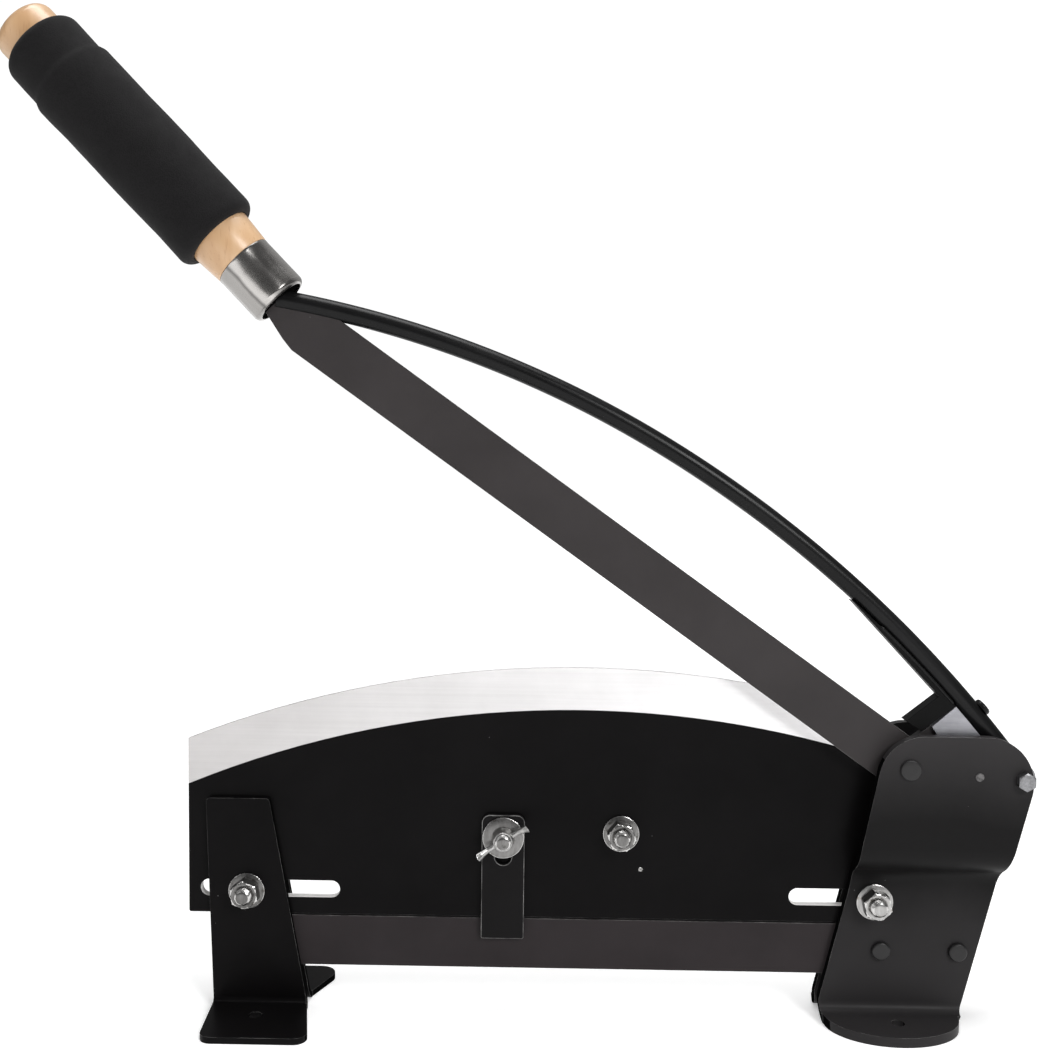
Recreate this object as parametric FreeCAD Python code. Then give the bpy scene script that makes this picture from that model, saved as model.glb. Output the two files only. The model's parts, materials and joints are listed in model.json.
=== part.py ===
import FreeCAD, Part
import math
import os

# A lever shear for vinyl tile, asphalt shingle and similar sheet.
#
# Frame: millimetres, +Z up, z = 0 on the bench. The origin is the middle of the four bench-screw
# holes in the feet. x runs from the handle end (-) to the pivot end (+), and y = 0 is the middle
# plane of the base plate, with the user on the -Y side. Shapes "level" below are drawn with the
# arm lying level, its pivot at the origin and its handle towards -X, and are then tipped open.

V = FreeCAD.Vector
Y_AXIS = V(0, 1, 0)
Z_AXIS = V(0, 0, 1)
REACH = 900.0                 # longer than anything in the tool, for cutting shapes
ABOVE_BLADE = 200.0           # a height above the base plate and the lower blade
ARC_STEPS = 6                 # points in a quarter round of a turned profile

# --- bench screws
HOLE_SPAN_X = 314.0
HOLE_SPAN_Y = 40.8
BENCH_HOLE_R = 3.25

# --- base plate and lower blade (both follow one circle about ARC)
PLATE_T = 4.8
PLATE_HALF = PLATE_T / 2
PLATE_LEFT = -194.0
PLATE_BOTTOM = 47.7
PLATE_RIGHT_LOW = 182.0
PLATE_RIGHT_HIGH = 148.0
PLATE_SHOULDER = (76.0, 90.0)                # heights where the right end slopes in under the bracket
PLATE_CORNERS = (1.0, 4.0, 6.0)              # radii: bottom left, bottom right, shoulder
ARC = (1.4, -345.4)
PLATE_R = 498.3
BLADE_R = 519.4
BLADE_RIGHT = 145.0
BLADE_BACK = 5.5              # y of the blade's back face
BLADE_BEVEL = 4.5             # how far the ground relief reaches down the back of the edge
BLADE_LAND = 2.9              # width of the edge's flat top, from the shearing face
TONGUE_FIT = 0.05             # gap between the plate's arc and the blade's step
TONGUE = [                    # the blade's lower outline, behind the plate
    (PLATE_LEFT, 110.0), (-107.0, 110.0), (-68.0, 79.0), (52.0, 79.0), (97.0, 110.0), (BLADE_RIGHT, 110.0),
]
SLOT_Z = 60.3
SLOT_W = 8.6
SLOT_LEFT = (-188.1, -118.2)
SLOT_RIGHT = (106.0, 176.0)
PILOT_HOLE = (32.0, 72.9)
PILOT_R = 1.0

# --- spine bar and clamp strap
SPINE = (-153.0, 195.0, 21.4, 46.8)          # x from, x to, z from, z to
SPINE_CORNERS = (1.0, 3.0)                   # radii: left end, right end
STRAP_T = 3.2
STRAP = (-47.3, -26.0, 37.5, 100.2)
STRAP_CORNERS = (1.0, 4.0)                   # radii: low end, high end
STRAP_SLOT = (75.0, 94.0)                    # z from, z to
STRAP_SLOT_W = 8.4

# --- fasteners
BOLT_R = 3.95
BOLT_HOLE_R = 4.1
WASHER_R = 9.0
WASHER_T = 1.6
NUT_AF = 12.7
NUT_H = 6.8
HEAD_H = 5.3
BOLT_STICK_OUT = 3.4                         # thread showing beyond a nut
CLAMP_STICK_OUT = 2.4                        # and beyond the wing nut
BOLT_CHAMFER = 0.8
WASHER_FIT = 0.15
HEX_EASE = 0.6                               # share of a hexagon's corner height that its end chamfer takes
CARRIAGE_R = 8.5
CARRIAGE_H = 3.0
CLAMP_BOLT = (-36.6, 89.2)
CLAMP_WASHER_R = 10.25
BLADE_BOLT = (21.9, 91.2)
LEG_BOLT = (-164.1, SLOT_Z)
BRACKET_BOLT = (147.2, SLOT_Z)
BRACKET_NUT_TURN = 12.0                      # degrees that each nut is turned on its bolt
LEG_NUT_TURN = 8.0
BLADE_NUT_TURN = 20.0
WING_TILT = 32.0
WING_T = 2.6
WING_HUB = (5.9, 5.1, 7.0)                   # radius at the washer, radius at the top, height
WING = [                                     # distance from the axis, height above the washer
    (3.1, 1.5), (6.4, 1.2), (13.3, 5.2), (14.5, 9.0), (12.3, 10.5), (9.1, 9.3), (3.1, 6.4),
]
TURN_GAP = 0.1                               # face gap beside a part that turns

# --- left stand
LEG_T = 3.2
LEG_TOP = 106.8
LEG_TOP_X = (-184.5, -153.1)
LEG_FOOT_X = (-181.0, -133.7)
NEAR_TIP_X = (-179.0, -127.0)
FAR_TIP_X = (-179.0, -121.5)
NEAR_REACH = 43.9                            # y of each foot's tip, from the middle plane
FAR_REACH = 37.6
LEG_BEND_R = 4.0
LEG_TOP_R = 2.0
NEAR_TIP_R = 6.0                             # corner radii at each foot's tip
FAR_TIP_R = 8.5
LEG_BLANK_X = (-220.0, -100.0)
SLIDE_GAP = 0.05

# --- right bracket
BRACKET_T = 4.8
BRACKET_TOP = 145.8
BRACKET_OUTLINE = [                          # x, z and corner radius, from the foot's left end
    (122.4, 0.0),
    (188.6, 0.0),
    (192.1, 10.0, 6.0),
    (225.4, BRACKET_TOP, 23.0),
    (148.4, BRACKET_TOP, 22.0),
    (137.4, 89.7, 40.0),
    (135.1, 68.2, 40.0),
    (121.2, 10.0, 6.0),
]
BRACKET_BLANK_X = (90.0, 250.0)
BRACKET_BEND_R = 7.4
BRACKET_REACH = 35.9
FOOT_CENTRE_X = 155.6
FOOT_HALF_W = 32.9
JOG_Z = 69.5
JOG_H = 21.0
JOG_OUT = 11.2
RIVETS = [(151.1, 35.5), (189.0, 35.5)]
RIVET_R = 3.0
RIVET_HEAD_R = 4.6
RIVET_HEAD_H = 2.2

# --- pivot and arm
PIVOT = (159.6, 129.5)
PIVOT_R = 4.0
PIVOT_HEAD_R = 5.0
PIVOT_HEAD_H = 1.5
BUSH_R = 6.0
RUN_FIT = 0.06
SPACER_R = 7.0
THRUST_WASHER_R = 10.0
WAVE_WASHER_R = 8.5
PRESS_FIT = 0.02
OPEN_ANGLE = 35.4
SHEAR_GAP = 0.15
UPPER_BLADE_T = 2.4
ARM_T = 4.8
ARM_HALF = 12.7
HEEL_R = ARM_HALF - 0.05
ARM_SHOULDER = [(-357.9, ARM_HALF, 6.0), (-365.7, 6.6, 8.0), (-372.8, 3.4, 5.0)]
ARM_HEEL_SIDE = [(-366.4, -10.8, 8.0), (-359.8, -ARM_HALF, 5.0)]
NECK_OFFSETS = (-9.1, -0.7)
TANG_LENGTH = 58.0
TANG_END_OFFSETS = (-7.4, -2.4)
EAR_ROOT = ARM_HALF - 2.0
EAR = [(3.2, EAR_ROOT), (3.2, 20.5), (-2.2, 22.7), (-6.0, EAR_ROOT)]
UPPER_BLADE = [(-352.0, -ARM_HALF), (-22.0, -ARM_HALF), (-28.0, 8.0), (-348.0, 8.0)]
UPPER_BLADE_SCREW_Z = -2.35
UPPER_BLADE_SCREWS = [-335.0, -235.0, -135.0, -40.0]
SCREW_R = 2.0
SCREW_HEAD_R = 4.0
SCREW_SHORT = 0.8             # how far the screws stop below the arm's near face

# --- brace rod, knee and block (level)
ROD_R = 4.7
BRACE_C = (-136.4, -562.9)
BRACE_R = 620.9
BRACE_JOIN_X = -190.0
BRACE_LEFT_R = 540.3
BRACE_END_X = 41.0
BRACE_START = 6.0             # how far the rod goes in past the ferrule's mouth, before it is trimmed
KNEE_TOP_X = -70.0
KNEE_TIP_H = 0.5
KNEE_CORNER = (-8.3, 36.9)
KNEE_FOOT = [(-13.8, 17.6), (-4.8, 18.0)]
KNEE_Y = (-11.4, -3.3)
BLOCK_X = (1.4, 31.0)
BLOCK_LOW = [(24.0, 21.0), (16.0, 12.8), (3.35, 12.8), (3.35, 20.75), (-1.9, 22.9)]
BLOCK_Y = (-11.6, -3.2)
BLOCK_CHAMFER = 1.2
BRACE_SCREW_X = 13.2
BRACE_SCREW_HEAD = (4.2, 2.4)                # radius, height
BRACE_SCREW_DEPTH = 18.0
BRACE_SCREW_SEAT = 0.4        # how far the head beds into the rod
WELD_GAP = 0.05

# --- handle, measured from the ferrule's mouth
HANDLE_AT = (-377.6, 3.3)
HANDLE_ANGLE = 10.7
FERRULE_R = 14.7
FERRULE_L = 26.5
FERRULE_WALL = 0.8
FERRULE_MOUTH_R = 12.2
WOOD_START = 1.0
WOOD_END = 179.2
WOOD_NECK_R = 14.8
WOOD_R = 16.1
WOOD_END_R = 15.5
WOOD_CROWN = 5.0
WOOD_SHOULDER = 3.0
FOAM = (42.1, 166.5)
FOAM_R = 21.8
FOAM_END_R = 20.4
FOAM_STEP = 25.0
FOAM_TAPER = 4.0
FOAM_ROUND = 4.5
HANDLE_PIN_AT = 20.0
HANDLE_PIN_R = 2.0
HANDLE_PIN_PAST = 2.0         # how far the pin goes into the wood past the tang

# --- stop and tie between the bracket plates
STOP = (214.6, 125.1)
STOP_R = 2.5
STOP_SLEEVE_R = 6.9
STOP_HEAD_AF = 8.0
STOP_HEAD_H = 3.6
STOP_HEAD_TURN = 30.0
STOP_STICK_OUT = 1.5
TIE = (192.9, 126.5)
TIE_R = 2.0
TIE_STICK_OUT = 0.3
END_GAP = 0.05

# --- places that follow from the dimensions
SHEAR_Y = -PLATE_HALF
UPPER_BLADE_Y = (SHEAR_Y - SHEAR_GAP - UPPER_BLADE_T, SHEAR_Y - SHEAR_GAP)
ARM_Y = (UPPER_BLADE_Y[0] - ARM_T, UPPER_BLADE_Y[0])
ARM_MID_Y = sum(ARM_Y) / 2
BRACKET_LOW_Y = PLATE_HALF + BRACKET_T
BRACKET_IN_Y = PLATE_HALF + JOG_OUT
BRACKET_OUT_Y = BRACKET_IN_Y + BRACKET_T
LEG_OUT_Y = PLATE_HALF + SLIDE_GAP + LEG_T
STRAP_Y = SHEAR_Y - STRAP_T
BENCH_X = HOLE_SPAN_X / 2
BENCH_Y = HOLE_SPAN_Y / 2


# ---------------------------------------------------------------- drawing helpers

def at_xz(x, z):
    return V(x, 0, z)


def at_yz(y, z):
    return V(0, y, z)


def at_xy(x, y):
    return V(x, y, 0)


def rounded_wire(corners, place):
    """A closed wire through corners (a, b) or (a, b, radius), with tangent arcs at the radii."""
    edges = []
    ends = []
    count = len(corners)
    for i, corner in enumerate(corners):
        here = V(corner[0], corner[1], 0)
        radius = corner[2] if len(corner) > 2 else 0.0
        if radius == 0.0:
            ends.append((here, here, None))
            continue
        before = V(corners[i - 1][0], corners[i - 1][1], 0) - here
        after = V(corners[(i + 1) % count][0], corners[(i + 1) % count][1], 0) - here
        before.normalize()
        after.normalize()
        half = before.getAngle(after) / 2
        bisector = before + after
        bisector.normalize()
        run = radius / math.tan(half)
        middle = here + bisector * (radius / math.sin(half) - radius)
        ends.append((here + before * run, here + after * run, middle))
    for i in range(count):
        start, stop, middle = ends[i]
        if middle is not None:
            arc = Part.Arc(place(start.x, start.y), place(middle.x, middle.y), place(stop.x, stop.y))
            edges.append(arc.toShape())
        nxt = ends[(i + 1) % count][0]
        edges.append(Part.makeLine(place(stop.x, stop.y), place(nxt.x, nxt.y)))
    return Part.Wire(edges)


def plate(corners, y0, y1):
    """A flat plate: an outline in X and Z, between two values of y."""
    solid = Part.Face(rounded_wire(corners, at_xz)).extrude(V(0, y1 - y0, 0))
    solid.translate(V(0, y0, 0))
    return solid


def floor_plate(corners, z0, z1):
    """A flat plate lying down: an outline in X and Y, between two heights."""
    solid = Part.Face(rounded_wire(corners, at_xy)).extrude(V(0, 0, z1 - z0))
    solid.translate(V(0, 0, z0))
    return solid


def rod_y(x, z, radius, y0, y1):
    """A round bar along Y between two values of y."""
    return Part.makeCylinder(radius, y1 - y0, V(x, y0, z), Y_AXIS)


def ring_y(x, z, outer, inner, y0, y1):
    return rod_y(x, z, outer, y0, y1).cut(rod_y(x, z, inner, y0, y1))


def slot_y(x0, x1, z0, z1):
    """A round-ended slot that goes through everything along Y."""
    r = min(x1 - x0, z1 - z0) / 2
    if x1 - x0 > z1 - z0:
        middle = (z0 + z1) / 2
        ends = [(x0 + r, middle), (x1 - r, middle)]
        straight = Part.makeBox(x1 - x0 - 2 * r, 2 * REACH, 2 * r, V(x0 + r, -REACH, z0))
    else:
        middle = (x0 + x1) / 2
        ends = [(middle, z0 + r), (middle, z1 - r)]
        straight = Part.makeBox(2 * r, 2 * REACH, z1 - z0 - 2 * r, V(x0, -REACH, z0 + r))
    return straight.fuse([rod_y(x, z, r, -REACH, REACH) for x, z in ends])


def hexagon(x, z, across, y0, y1, turn=0.0):
    """A six-sided bar along Y, with its corners eased at the end further from the plate."""
    corner = across / math.sqrt(3)
    points = []
    for i in range(6):
        angle = math.radians(60 * i + turn)
        points.append((x + corner * math.cos(angle), z + corner * math.sin(angle)))
    body = plate(points, y0, y1)
    ease = corner - across / 2
    outer = y0 if abs(y0) > abs(y1) else y1
    inner = y1 if outer == y0 else y0
    direction = V(0, 1 if outer > inner else -1, 0)
    length = abs(y1 - y0)
    cap_height = ease * HEX_EASE
    collar = Part.makeCylinder(corner, length - cap_height, V(x, inner, z), direction)
    cap_base = V(x, outer, z) - direction * cap_height
    cap = Part.makeCone(corner, across / 2 - cap_height, cap_height, cap_base, direction)
    return body.common(collar.fuse(cap))


def dome(x, z, radius, height, y_face, side):
    """A shallow domed head on the face at y_face, standing out towards side (+1 or -1) along Y."""
    ball = (radius * radius + height * height) / (2 * height)
    centre = V(x, y_face + side * (height - ball), z)
    y_top = y_face + side * height
    return Part.makeSphere(ball, centre).common(rod_y(x, z, radius, min(y_face, y_top), max(y_face, y_top)))


def bent_strip(start, moves, thickness, span):
    """A strip bent along a path in Y and Z, over a span of x. The path starts towards +Y, and its
    moves are ("go", length) and ("turn", centre radius, degrees)."""
    sides = {1: [], -1: []}
    y, z = start
    angle = 0.0

    def offset(py, pz, direction, side):
        half = side * thickness / 2
        return at_yz(py - half * math.sin(direction), pz + half * math.cos(direction))

    caps = [[offset(y, z, angle, 1), offset(y, z, angle, -1)]]
    for move in moves:
        y0, z0, a0 = y, z, angle
        if move[0] == "go":
            y += move[1] * math.cos(angle)
            z += move[1] * math.sin(angle)
            for side in sides:
                sides[side].append(Part.makeLine(offset(y0, z0, a0, side), offset(y, z, angle, side)))
            continue
        turn = math.radians(move[2])
        bend = math.copysign(move[1], turn)
        cy = y - bend * math.sin(angle)
        cz = z + bend * math.cos(angle)
        half_angle = angle + turn / 2
        angle += turn
        middle = (cy + bend * math.sin(half_angle), cz - bend * math.cos(half_angle))
        y = cy + bend * math.sin(angle)
        z = cz - bend * math.cos(angle)
        for side in sides:
            through = offset(middle[0], middle[1], half_angle, side)
            arc = Part.Arc(offset(y0, z0, a0, side), through, offset(y, z, angle, side))
            sides[side].append(arc.toShape())
    caps.append([offset(y, z, angle, 1), offset(y, z, angle, -1)])
    edges = sides[1] + sides[-1] + [Part.makeLine(cap[0], cap[1]) for cap in caps]
    strip = Part.Face(Part.Wire(Part.__sortEdges__(edges))).extrude(V(span[1] - span[0], 0, 0))
    strip.translate(V(span[0], 0, 0))
    return strip


def mirrored(shape):
    """The same shape on the other side of the middle plane."""
    return shape.mirror(V(0, 0, 0), Y_AXIS)


def tip_arm(shape):
    """Put a level arm shape at its pivot, tipped open."""
    placed = shape.copy()
    placed.rotate(V(0, 0, 0), Y_AXIS, OPEN_ANGLE)
    placed.translate(at_xz(PIVOT[0], PIVOT[1]))
    return placed


def on_handle(shape):
    """Put a shape drawn along -X from the ferrule's mouth onto the level arm."""
    placed = shape.copy()
    placed.rotate(V(0, 0, 0), Y_AXIS, HANDLE_ANGLE)
    placed.translate(V(HANDLE_AT[0], ARM_MID_Y, HANDLE_AT[1]))
    return placed


def handle_point(along, offset):
    """A level point at a distance along the handle's axis and an offset across it."""
    angle = math.radians(HANDLE_ANGLE)
    x = HANDLE_AT[0] - along * math.cos(angle) + offset * math.sin(angle)
    z = HANDLE_AT[1] + along * math.sin(angle) + offset * math.cos(angle)
    return (x, z)


def round_points(centre, radius, from_deg, to_deg):
    """Points on an arc of a turned profile. Degrees run from along the axis (0) to outwards (90)."""
    points = []
    for i in range(ARC_STEPS + 1):
        angle = math.radians(from_deg + (to_deg - from_deg) * i / ARC_STEPS)
        points.append((centre[0] + radius * math.cos(angle), centre[1] + radius * math.sin(angle)))
    return points


def turned(profile):
    """A round part turned about the handle's axis. profile is (distance along, radius) points."""
    points = [V(-along, 0, radius) for along, radius in profile]
    face = Part.Face(Part.makePolygon(points + [points[0]]))
    return face.revolve(V(0, 0, 0), V(1, 0, 0), 360)


def save(name, shape):
    if len(shape.Solids) == 1:
        shape = shape.removeSplitter()
    if not shape.isValid():
        raise ValueError(name + " is not a valid solid")
    shape.exportStep("parts/" + name + ".step")
    print(name, len(shape.Solids), round(shape.Volume, 1))


# ---------------------------------------------------------------- base plate, lower blade, spine, strap

def make_base_plate():
    left_r, right_r, shoulder_r = PLATE_CORNERS
    outline = [
        (PLATE_LEFT, PLATE_BOTTOM, left_r),
        (PLATE_RIGHT_LOW, PLATE_BOTTOM, right_r),
        (PLATE_RIGHT_LOW, PLATE_SHOULDER[0], shoulder_r),
        (PLATE_RIGHT_HIGH, PLATE_SHOULDER[1], shoulder_r),
        (PLATE_RIGHT_HIGH, ABOVE_BLADE),
        (PLATE_LEFT, ABOVE_BLADE),
    ]
    body = plate(outline, -PLATE_HALF, PLATE_HALF)
    body = body.common(rod_y(ARC[0], ARC[1], PLATE_R, -PLATE_HALF, PLATE_HALF))
    for x0, x1 in (SLOT_LEFT, SLOT_RIGHT):
        body = body.cut(slot_y(x0, x1, SLOT_Z - SLOT_W / 2, SLOT_Z + SLOT_W / 2))
    for x, z in (CLAMP_BOLT, BLADE_BOLT):
        body = body.cut(rod_y(x, z, BOLT_HOLE_R, -REACH, REACH))
    return body.cut(rod_y(PILOT_HOLE[0], PILOT_HOLE[1], PILOT_R, -REACH, REACH))


def make_lower_blade():
    """A band above the plate's arc, flush with its front, with a thinner tongue behind the plate."""
    outline = TONGUE + [(BLADE_RIGHT, ABOVE_BLADE), (PLATE_LEFT, ABOVE_BLADE)]
    blank = plate(outline, -PLATE_HALF, BLADE_BACK)
    blank = blank.common(rod_y(ARC[0], ARC[1], BLADE_R, -PLATE_HALF, BLADE_BACK))
    step = rod_y(ARC[0], ARC[1], PLATE_R + TONGUE_FIT, -PLATE_HALF - 1, PLATE_HALF)
    body = blank.cut(step)
    relief = [
        V(0, SHEAR_Y + BLADE_LAND, BLADE_R),
        V(0, BLADE_BACK, BLADE_R),
        V(0, BLADE_BACK, BLADE_R - BLADE_BEVEL),
    ]
    cutter = Part.Face(Part.makePolygon(relief + [relief[0]])).revolve(V(0, 0, 0), Y_AXIS, 360)
    cutter.translate(at_xz(ARC[0], ARC[1]))
    body = body.cut(cutter)
    for x, z in (CLAMP_BOLT, BLADE_BOLT):
        body = body.cut(rod_y(x, z, BOLT_HOLE_R, -REACH, REACH))
    return body


def make_spine_bar():
    x0, x1, z0, z1 = SPINE
    left_r, right_r = SPINE_CORNERS
    outline = [(x0, z0, left_r), (x1, z0, right_r), (x1, z1, right_r), (x0, z1, left_r)]
    body = plate(outline, -PLATE_HALF, PLATE_HALF)
    for x, z in RIVETS:
        body = body.cut(rod_y(x, z, RIVET_R, -REACH, REACH))
    return body


def make_clamp_strap():
    x0, x1, z0, z1 = STRAP
    low_r, high_r = STRAP_CORNERS
    body = plate([(x0, z0, low_r), (x1, z0, low_r), (x1, z1, high_r), (x0, z1, high_r)], STRAP_Y, SHEAR_Y)
    slot_x = CLAMP_BOLT[0] - STRAP_SLOT_W / 2
    return body.cut(slot_y(slot_x, slot_x + STRAP_SLOT_W, STRAP_SLOT[0], STRAP_SLOT[1]))


# ---------------------------------------------------------------- right bracket and left stand

def bench_hole(x, y):
    """A screw hole through a foot, no taller than the thicker foot."""
    return Part.makeCylinder(BENCH_HOLE_R, BRACKET_T, V(x, y, 0), Z_AXIS)


def make_bracket():
    """The near bracket plate: a half-oval foot, a bend, a straight shank and a plate jogged outwards."""
    half = BRACKET_T / 2
    shank_y = -PLATE_HALF - half
    bend_y = shank_y - BRACKET_BEND_R
    jog_angle = 2 * math.degrees(math.atan2(JOG_OUT, JOG_H))
    jog_r = JOG_H / (2 * math.sin(math.radians(jog_angle)))
    top_start = JOG_Z + JOG_H
    moves = [
        ("go", BRACKET_REACH + bend_y),
        ("turn", BRACKET_BEND_R, 90),
        ("go", JOG_Z - half - BRACKET_BEND_R),
        ("turn", jog_r, jog_angle),
        ("turn", jog_r, -jog_angle),
        ("go", BRACKET_TOP - top_start),
    ]
    strip = bent_strip((-BRACKET_REACH, half), moves, BRACKET_T, BRACKET_BLANK_X)
    bend_top = BRACKET_BEND_R + half
    depth = BRACKET_REACH + bend_y
    foot_room = Part.makeBox(REACH, depth, bend_top, V(0, -BRACKET_REACH, 0))
    upright = plate(BRACKET_OUTLINE, -BRACKET_OUT_Y, 0).cut(foot_room)
    oval = Part.Ellipse(at_xy(FOOT_CENTRE_X, bend_y), FOOT_HALF_W, depth)
    rim = Part.ArcOfEllipse(oval, math.pi, 2 * math.pi).toShape()
    ends = [vertex.Point for vertex in rim.Vertexes]
    foot = Part.Face(Part.Wire([rim, Part.makeLine(ends[1], ends[0])])).extrude(V(0, 0, bend_top))
    body = strip.common(upright).fuse(strip.common(foot)).removeSplitter()
    body = body.cut(bench_hole(BENCH_X, -BENCH_Y))
    body = body.cut(rod_y(BRACKET_BOLT[0], BRACKET_BOLT[1], BOLT_HOLE_R, -REACH, REACH))
    body = body.cut(rod_y(PIVOT[0], PIVOT[1], PIVOT_R + END_GAP, -REACH, REACH))
    body = body.cut(rod_y(STOP[0], STOP[1], STOP_R + END_GAP, -REACH, REACH))
    body = body.cut(rod_y(TIE[0], TIE[1], TIE_R + END_GAP, -REACH, REACH))
    for x, z in RIVETS:
        body = body.cut(rod_y(x, z, RIVET_R, -REACH, REACH))
    return body


def make_leg(reach, tip_x, tip_r):
    """A leg plate of the sliding stand on the near side, with its foot turned out as far as reach."""
    half = LEG_T / 2
    shank_y = -LEG_OUT_Y + half
    bend_y = shank_y - LEG_BEND_R
    moves = [
        ("go", reach + bend_y),
        ("turn", LEG_BEND_R, 90),
        ("go", LEG_TOP - half - LEG_BEND_R),
    ]
    strip = bent_strip((-reach, half), moves, LEG_T, LEG_BLANK_X)
    front = [
        (LEG_FOOT_X[0], 0.0),
        (LEG_FOOT_X[1], 0.0),
        (LEG_TOP_X[1], LEG_TOP, LEG_TOP_R),
        (LEG_TOP_X[0], LEG_TOP, LEG_TOP_R),
    ]
    under = [
        (LEG_FOOT_X[0], bend_y),
        (tip_x[0], -reach, tip_r),
        (tip_x[1], -reach, tip_r),
        (LEG_FOOT_X[1], bend_y),
    ]
    upright = plate(front, bend_y, 0)
    foot = floor_plate(under, 0, LEG_BEND_R + half)
    body = strip.common(upright).fuse(strip.common(foot)).removeSplitter()
    body = body.cut(bench_hole(-BENCH_X, -BENCH_Y))
    return body.cut(rod_y(LEG_BOLT[0], LEG_BOLT[1], BOLT_HOLE_R, -REACH, REACH))


def make_rivets():
    """Two rivets through both bracket plates and the spine, with round heads on each side."""
    solids = []
    for x, z in RIVETS:
        body = rod_y(x, z, RIVET_R, -BRACKET_LOW_Y, BRACKET_LOW_Y)
        for side in (-1, 1):
            body = body.fuse(dome(x, z, RIVET_HEAD_R, RIVET_HEAD_H, side * BRACKET_LOW_Y, side))
        solids.append(body.removeSplitter())
    return Part.makeCompound(solids)


# ---------------------------------------------------------------- fasteners

def tip_y(face_y, stick_out=BOLT_STICK_OUT):
    """The y of a bolt's free end, past a washer and a nut on a face at face_y."""
    return face_y - WASHER_T - NUT_H - stick_out


def bolt_shaft(x, z, y_tip, y_head):
    """A bolt's shaft with a chamfered free end at y_tip, the more negative y."""
    shaft = rod_y(x, z, BOLT_R, y_tip + BOLT_CHAMFER, y_head)
    point = Part.makeCone(BOLT_R - BOLT_CHAMFER, BOLT_R, BOLT_CHAMFER, V(x, y_tip, z), Y_AXIS)
    return shaft.fuse(point)


def hex_bolt(place, face_near, face_far):
    """A hex bolt pushed in from the far side, with a washer under its head."""
    x, z = place
    under_head = face_far + WASHER_T
    shaft = bolt_shaft(x, z, tip_y(face_near), under_head)
    return shaft.fuse(hexagon(x, z, NUT_AF, under_head, under_head + HEAD_H)).removeSplitter()


def carriage_bolt(place, y_tip, face_far):
    x, z = place
    shaft = bolt_shaft(x, z, y_tip, face_far)
    return shaft.fuse(dome(x, z, CARRIAGE_R, CARRIAGE_H, face_far, 1)).removeSplitter()


def washer(place, y0, radius=WASHER_R):
    return ring_y(place[0], place[1], radius, BOLT_R + WASHER_FIT, y0, y0 + WASHER_T)


def washer_pair(place, y_face):
    """A washer against each side of a stack that reaches y_face each way."""
    return Part.makeCompound([washer(place, -y_face - WASHER_T), washer(place, y_face)])


def nut(place, y_face, turn):
    """A hex nut whose seat is at y_face, on the near side."""
    x, z = place
    return hexagon(x, z, NUT_AF, y_face - NUT_H, y_face, turn).cut(rod_y(x, z, BOLT_R, -REACH, REACH))


def make_wing_nut(y_seat):
    """A wing nut: a tapered hub with two wings that flare towards the user."""
    x, z = CLAMP_BOLT
    base_r, top_r, height = WING_HUB
    hub = Part.makeCone(base_r, top_r, height, V(0, 0, 0), Y_AXIS * -1)
    outline = [V(out, -up, 0) for out, up in WING]
    wing = Part.Face(Part.makePolygon(outline + [outline[0]])).extrude(V(0, 0, WING_T))
    wing.translate(V(0, 0, -WING_T / 2))
    other = wing.copy()
    other.rotate(V(0, 0, 0), Y_AXIS, 180)
    body = hub.fuse([wing, other]).removeSplitter()
    body = body.cut(rod_y(0, 0, BOLT_R + TURN_GAP, -REACH, REACH))
    body.rotate(V(0, 0, 0), Y_AXIS, -WING_TILT)
    body.translate(V(x, y_seat, z))
    return body


# ---------------------------------------------------------------- arm, blade, brace

def brace_arc_z(x, radius):
    """Height of a circle about the brace's main centre, at x."""
    return BRACE_C[1] + math.sqrt(radius * radius - (x - BRACE_C[0]) ** 2)


def arm_outline():
    """The flat bar's outline: a round heel at the pivot, a straight bar, a neck and a tang."""
    neck_low = handle_point(0.0, NECK_OFFSETS[0])
    neck_high = handle_point(0.0, NECK_OFFSETS[1])
    tang_low = handle_point(TANG_LENGTH, TANG_END_OFFSETS[0])
    tang_high = handle_point(TANG_LENGTH, TANG_END_OFFSETS[1])
    heel = [(0.0, -ARM_HALF), (ARM_HALF, -ARM_HALF, HEEL_R), (ARM_HALF, ARM_HALF, HEEL_R), (0.0, ARM_HALF)]
    return heel + ARM_SHOULDER + [neck_high, tang_high, tang_low, neck_low] + ARM_HEEL_SIDE


def make_arm_bar():
    body = plate(arm_outline(), ARM_Y[0], ARM_Y[1])
    body = body.fuse(plate(EAR, ARM_Y[0], ARM_Y[1])).removeSplitter()
    return body.cut(rod_y(0, 0, BUSH_R + PRESS_FIT, -REACH, REACH))


def screw_row():
    """Countersunk screws that hold the upper blade, put in from the blade's side."""
    z = UPPER_BLADE_SCREW_Z
    taper = SCREW_HEAD_R - SCREW_R
    solids = []
    for x in UPPER_BLADE_SCREWS:
        shaft = rod_y(x, z, SCREW_R, ARM_Y[0] + SCREW_SHORT, UPPER_BLADE_Y[1] - taper)
        head = Part.makeCone(SCREW_R, SCREW_HEAD_R, taper, V(x, UPPER_BLADE_Y[1] - taper, z), Y_AXIS)
        solids.append(shaft.fuse(head).removeSplitter())
    return Part.makeCompound(solids)


def make_upper_blade():
    return plate(UPPER_BLADE, UPPER_BLADE_Y[0], UPPER_BLADE_Y[1])


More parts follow.
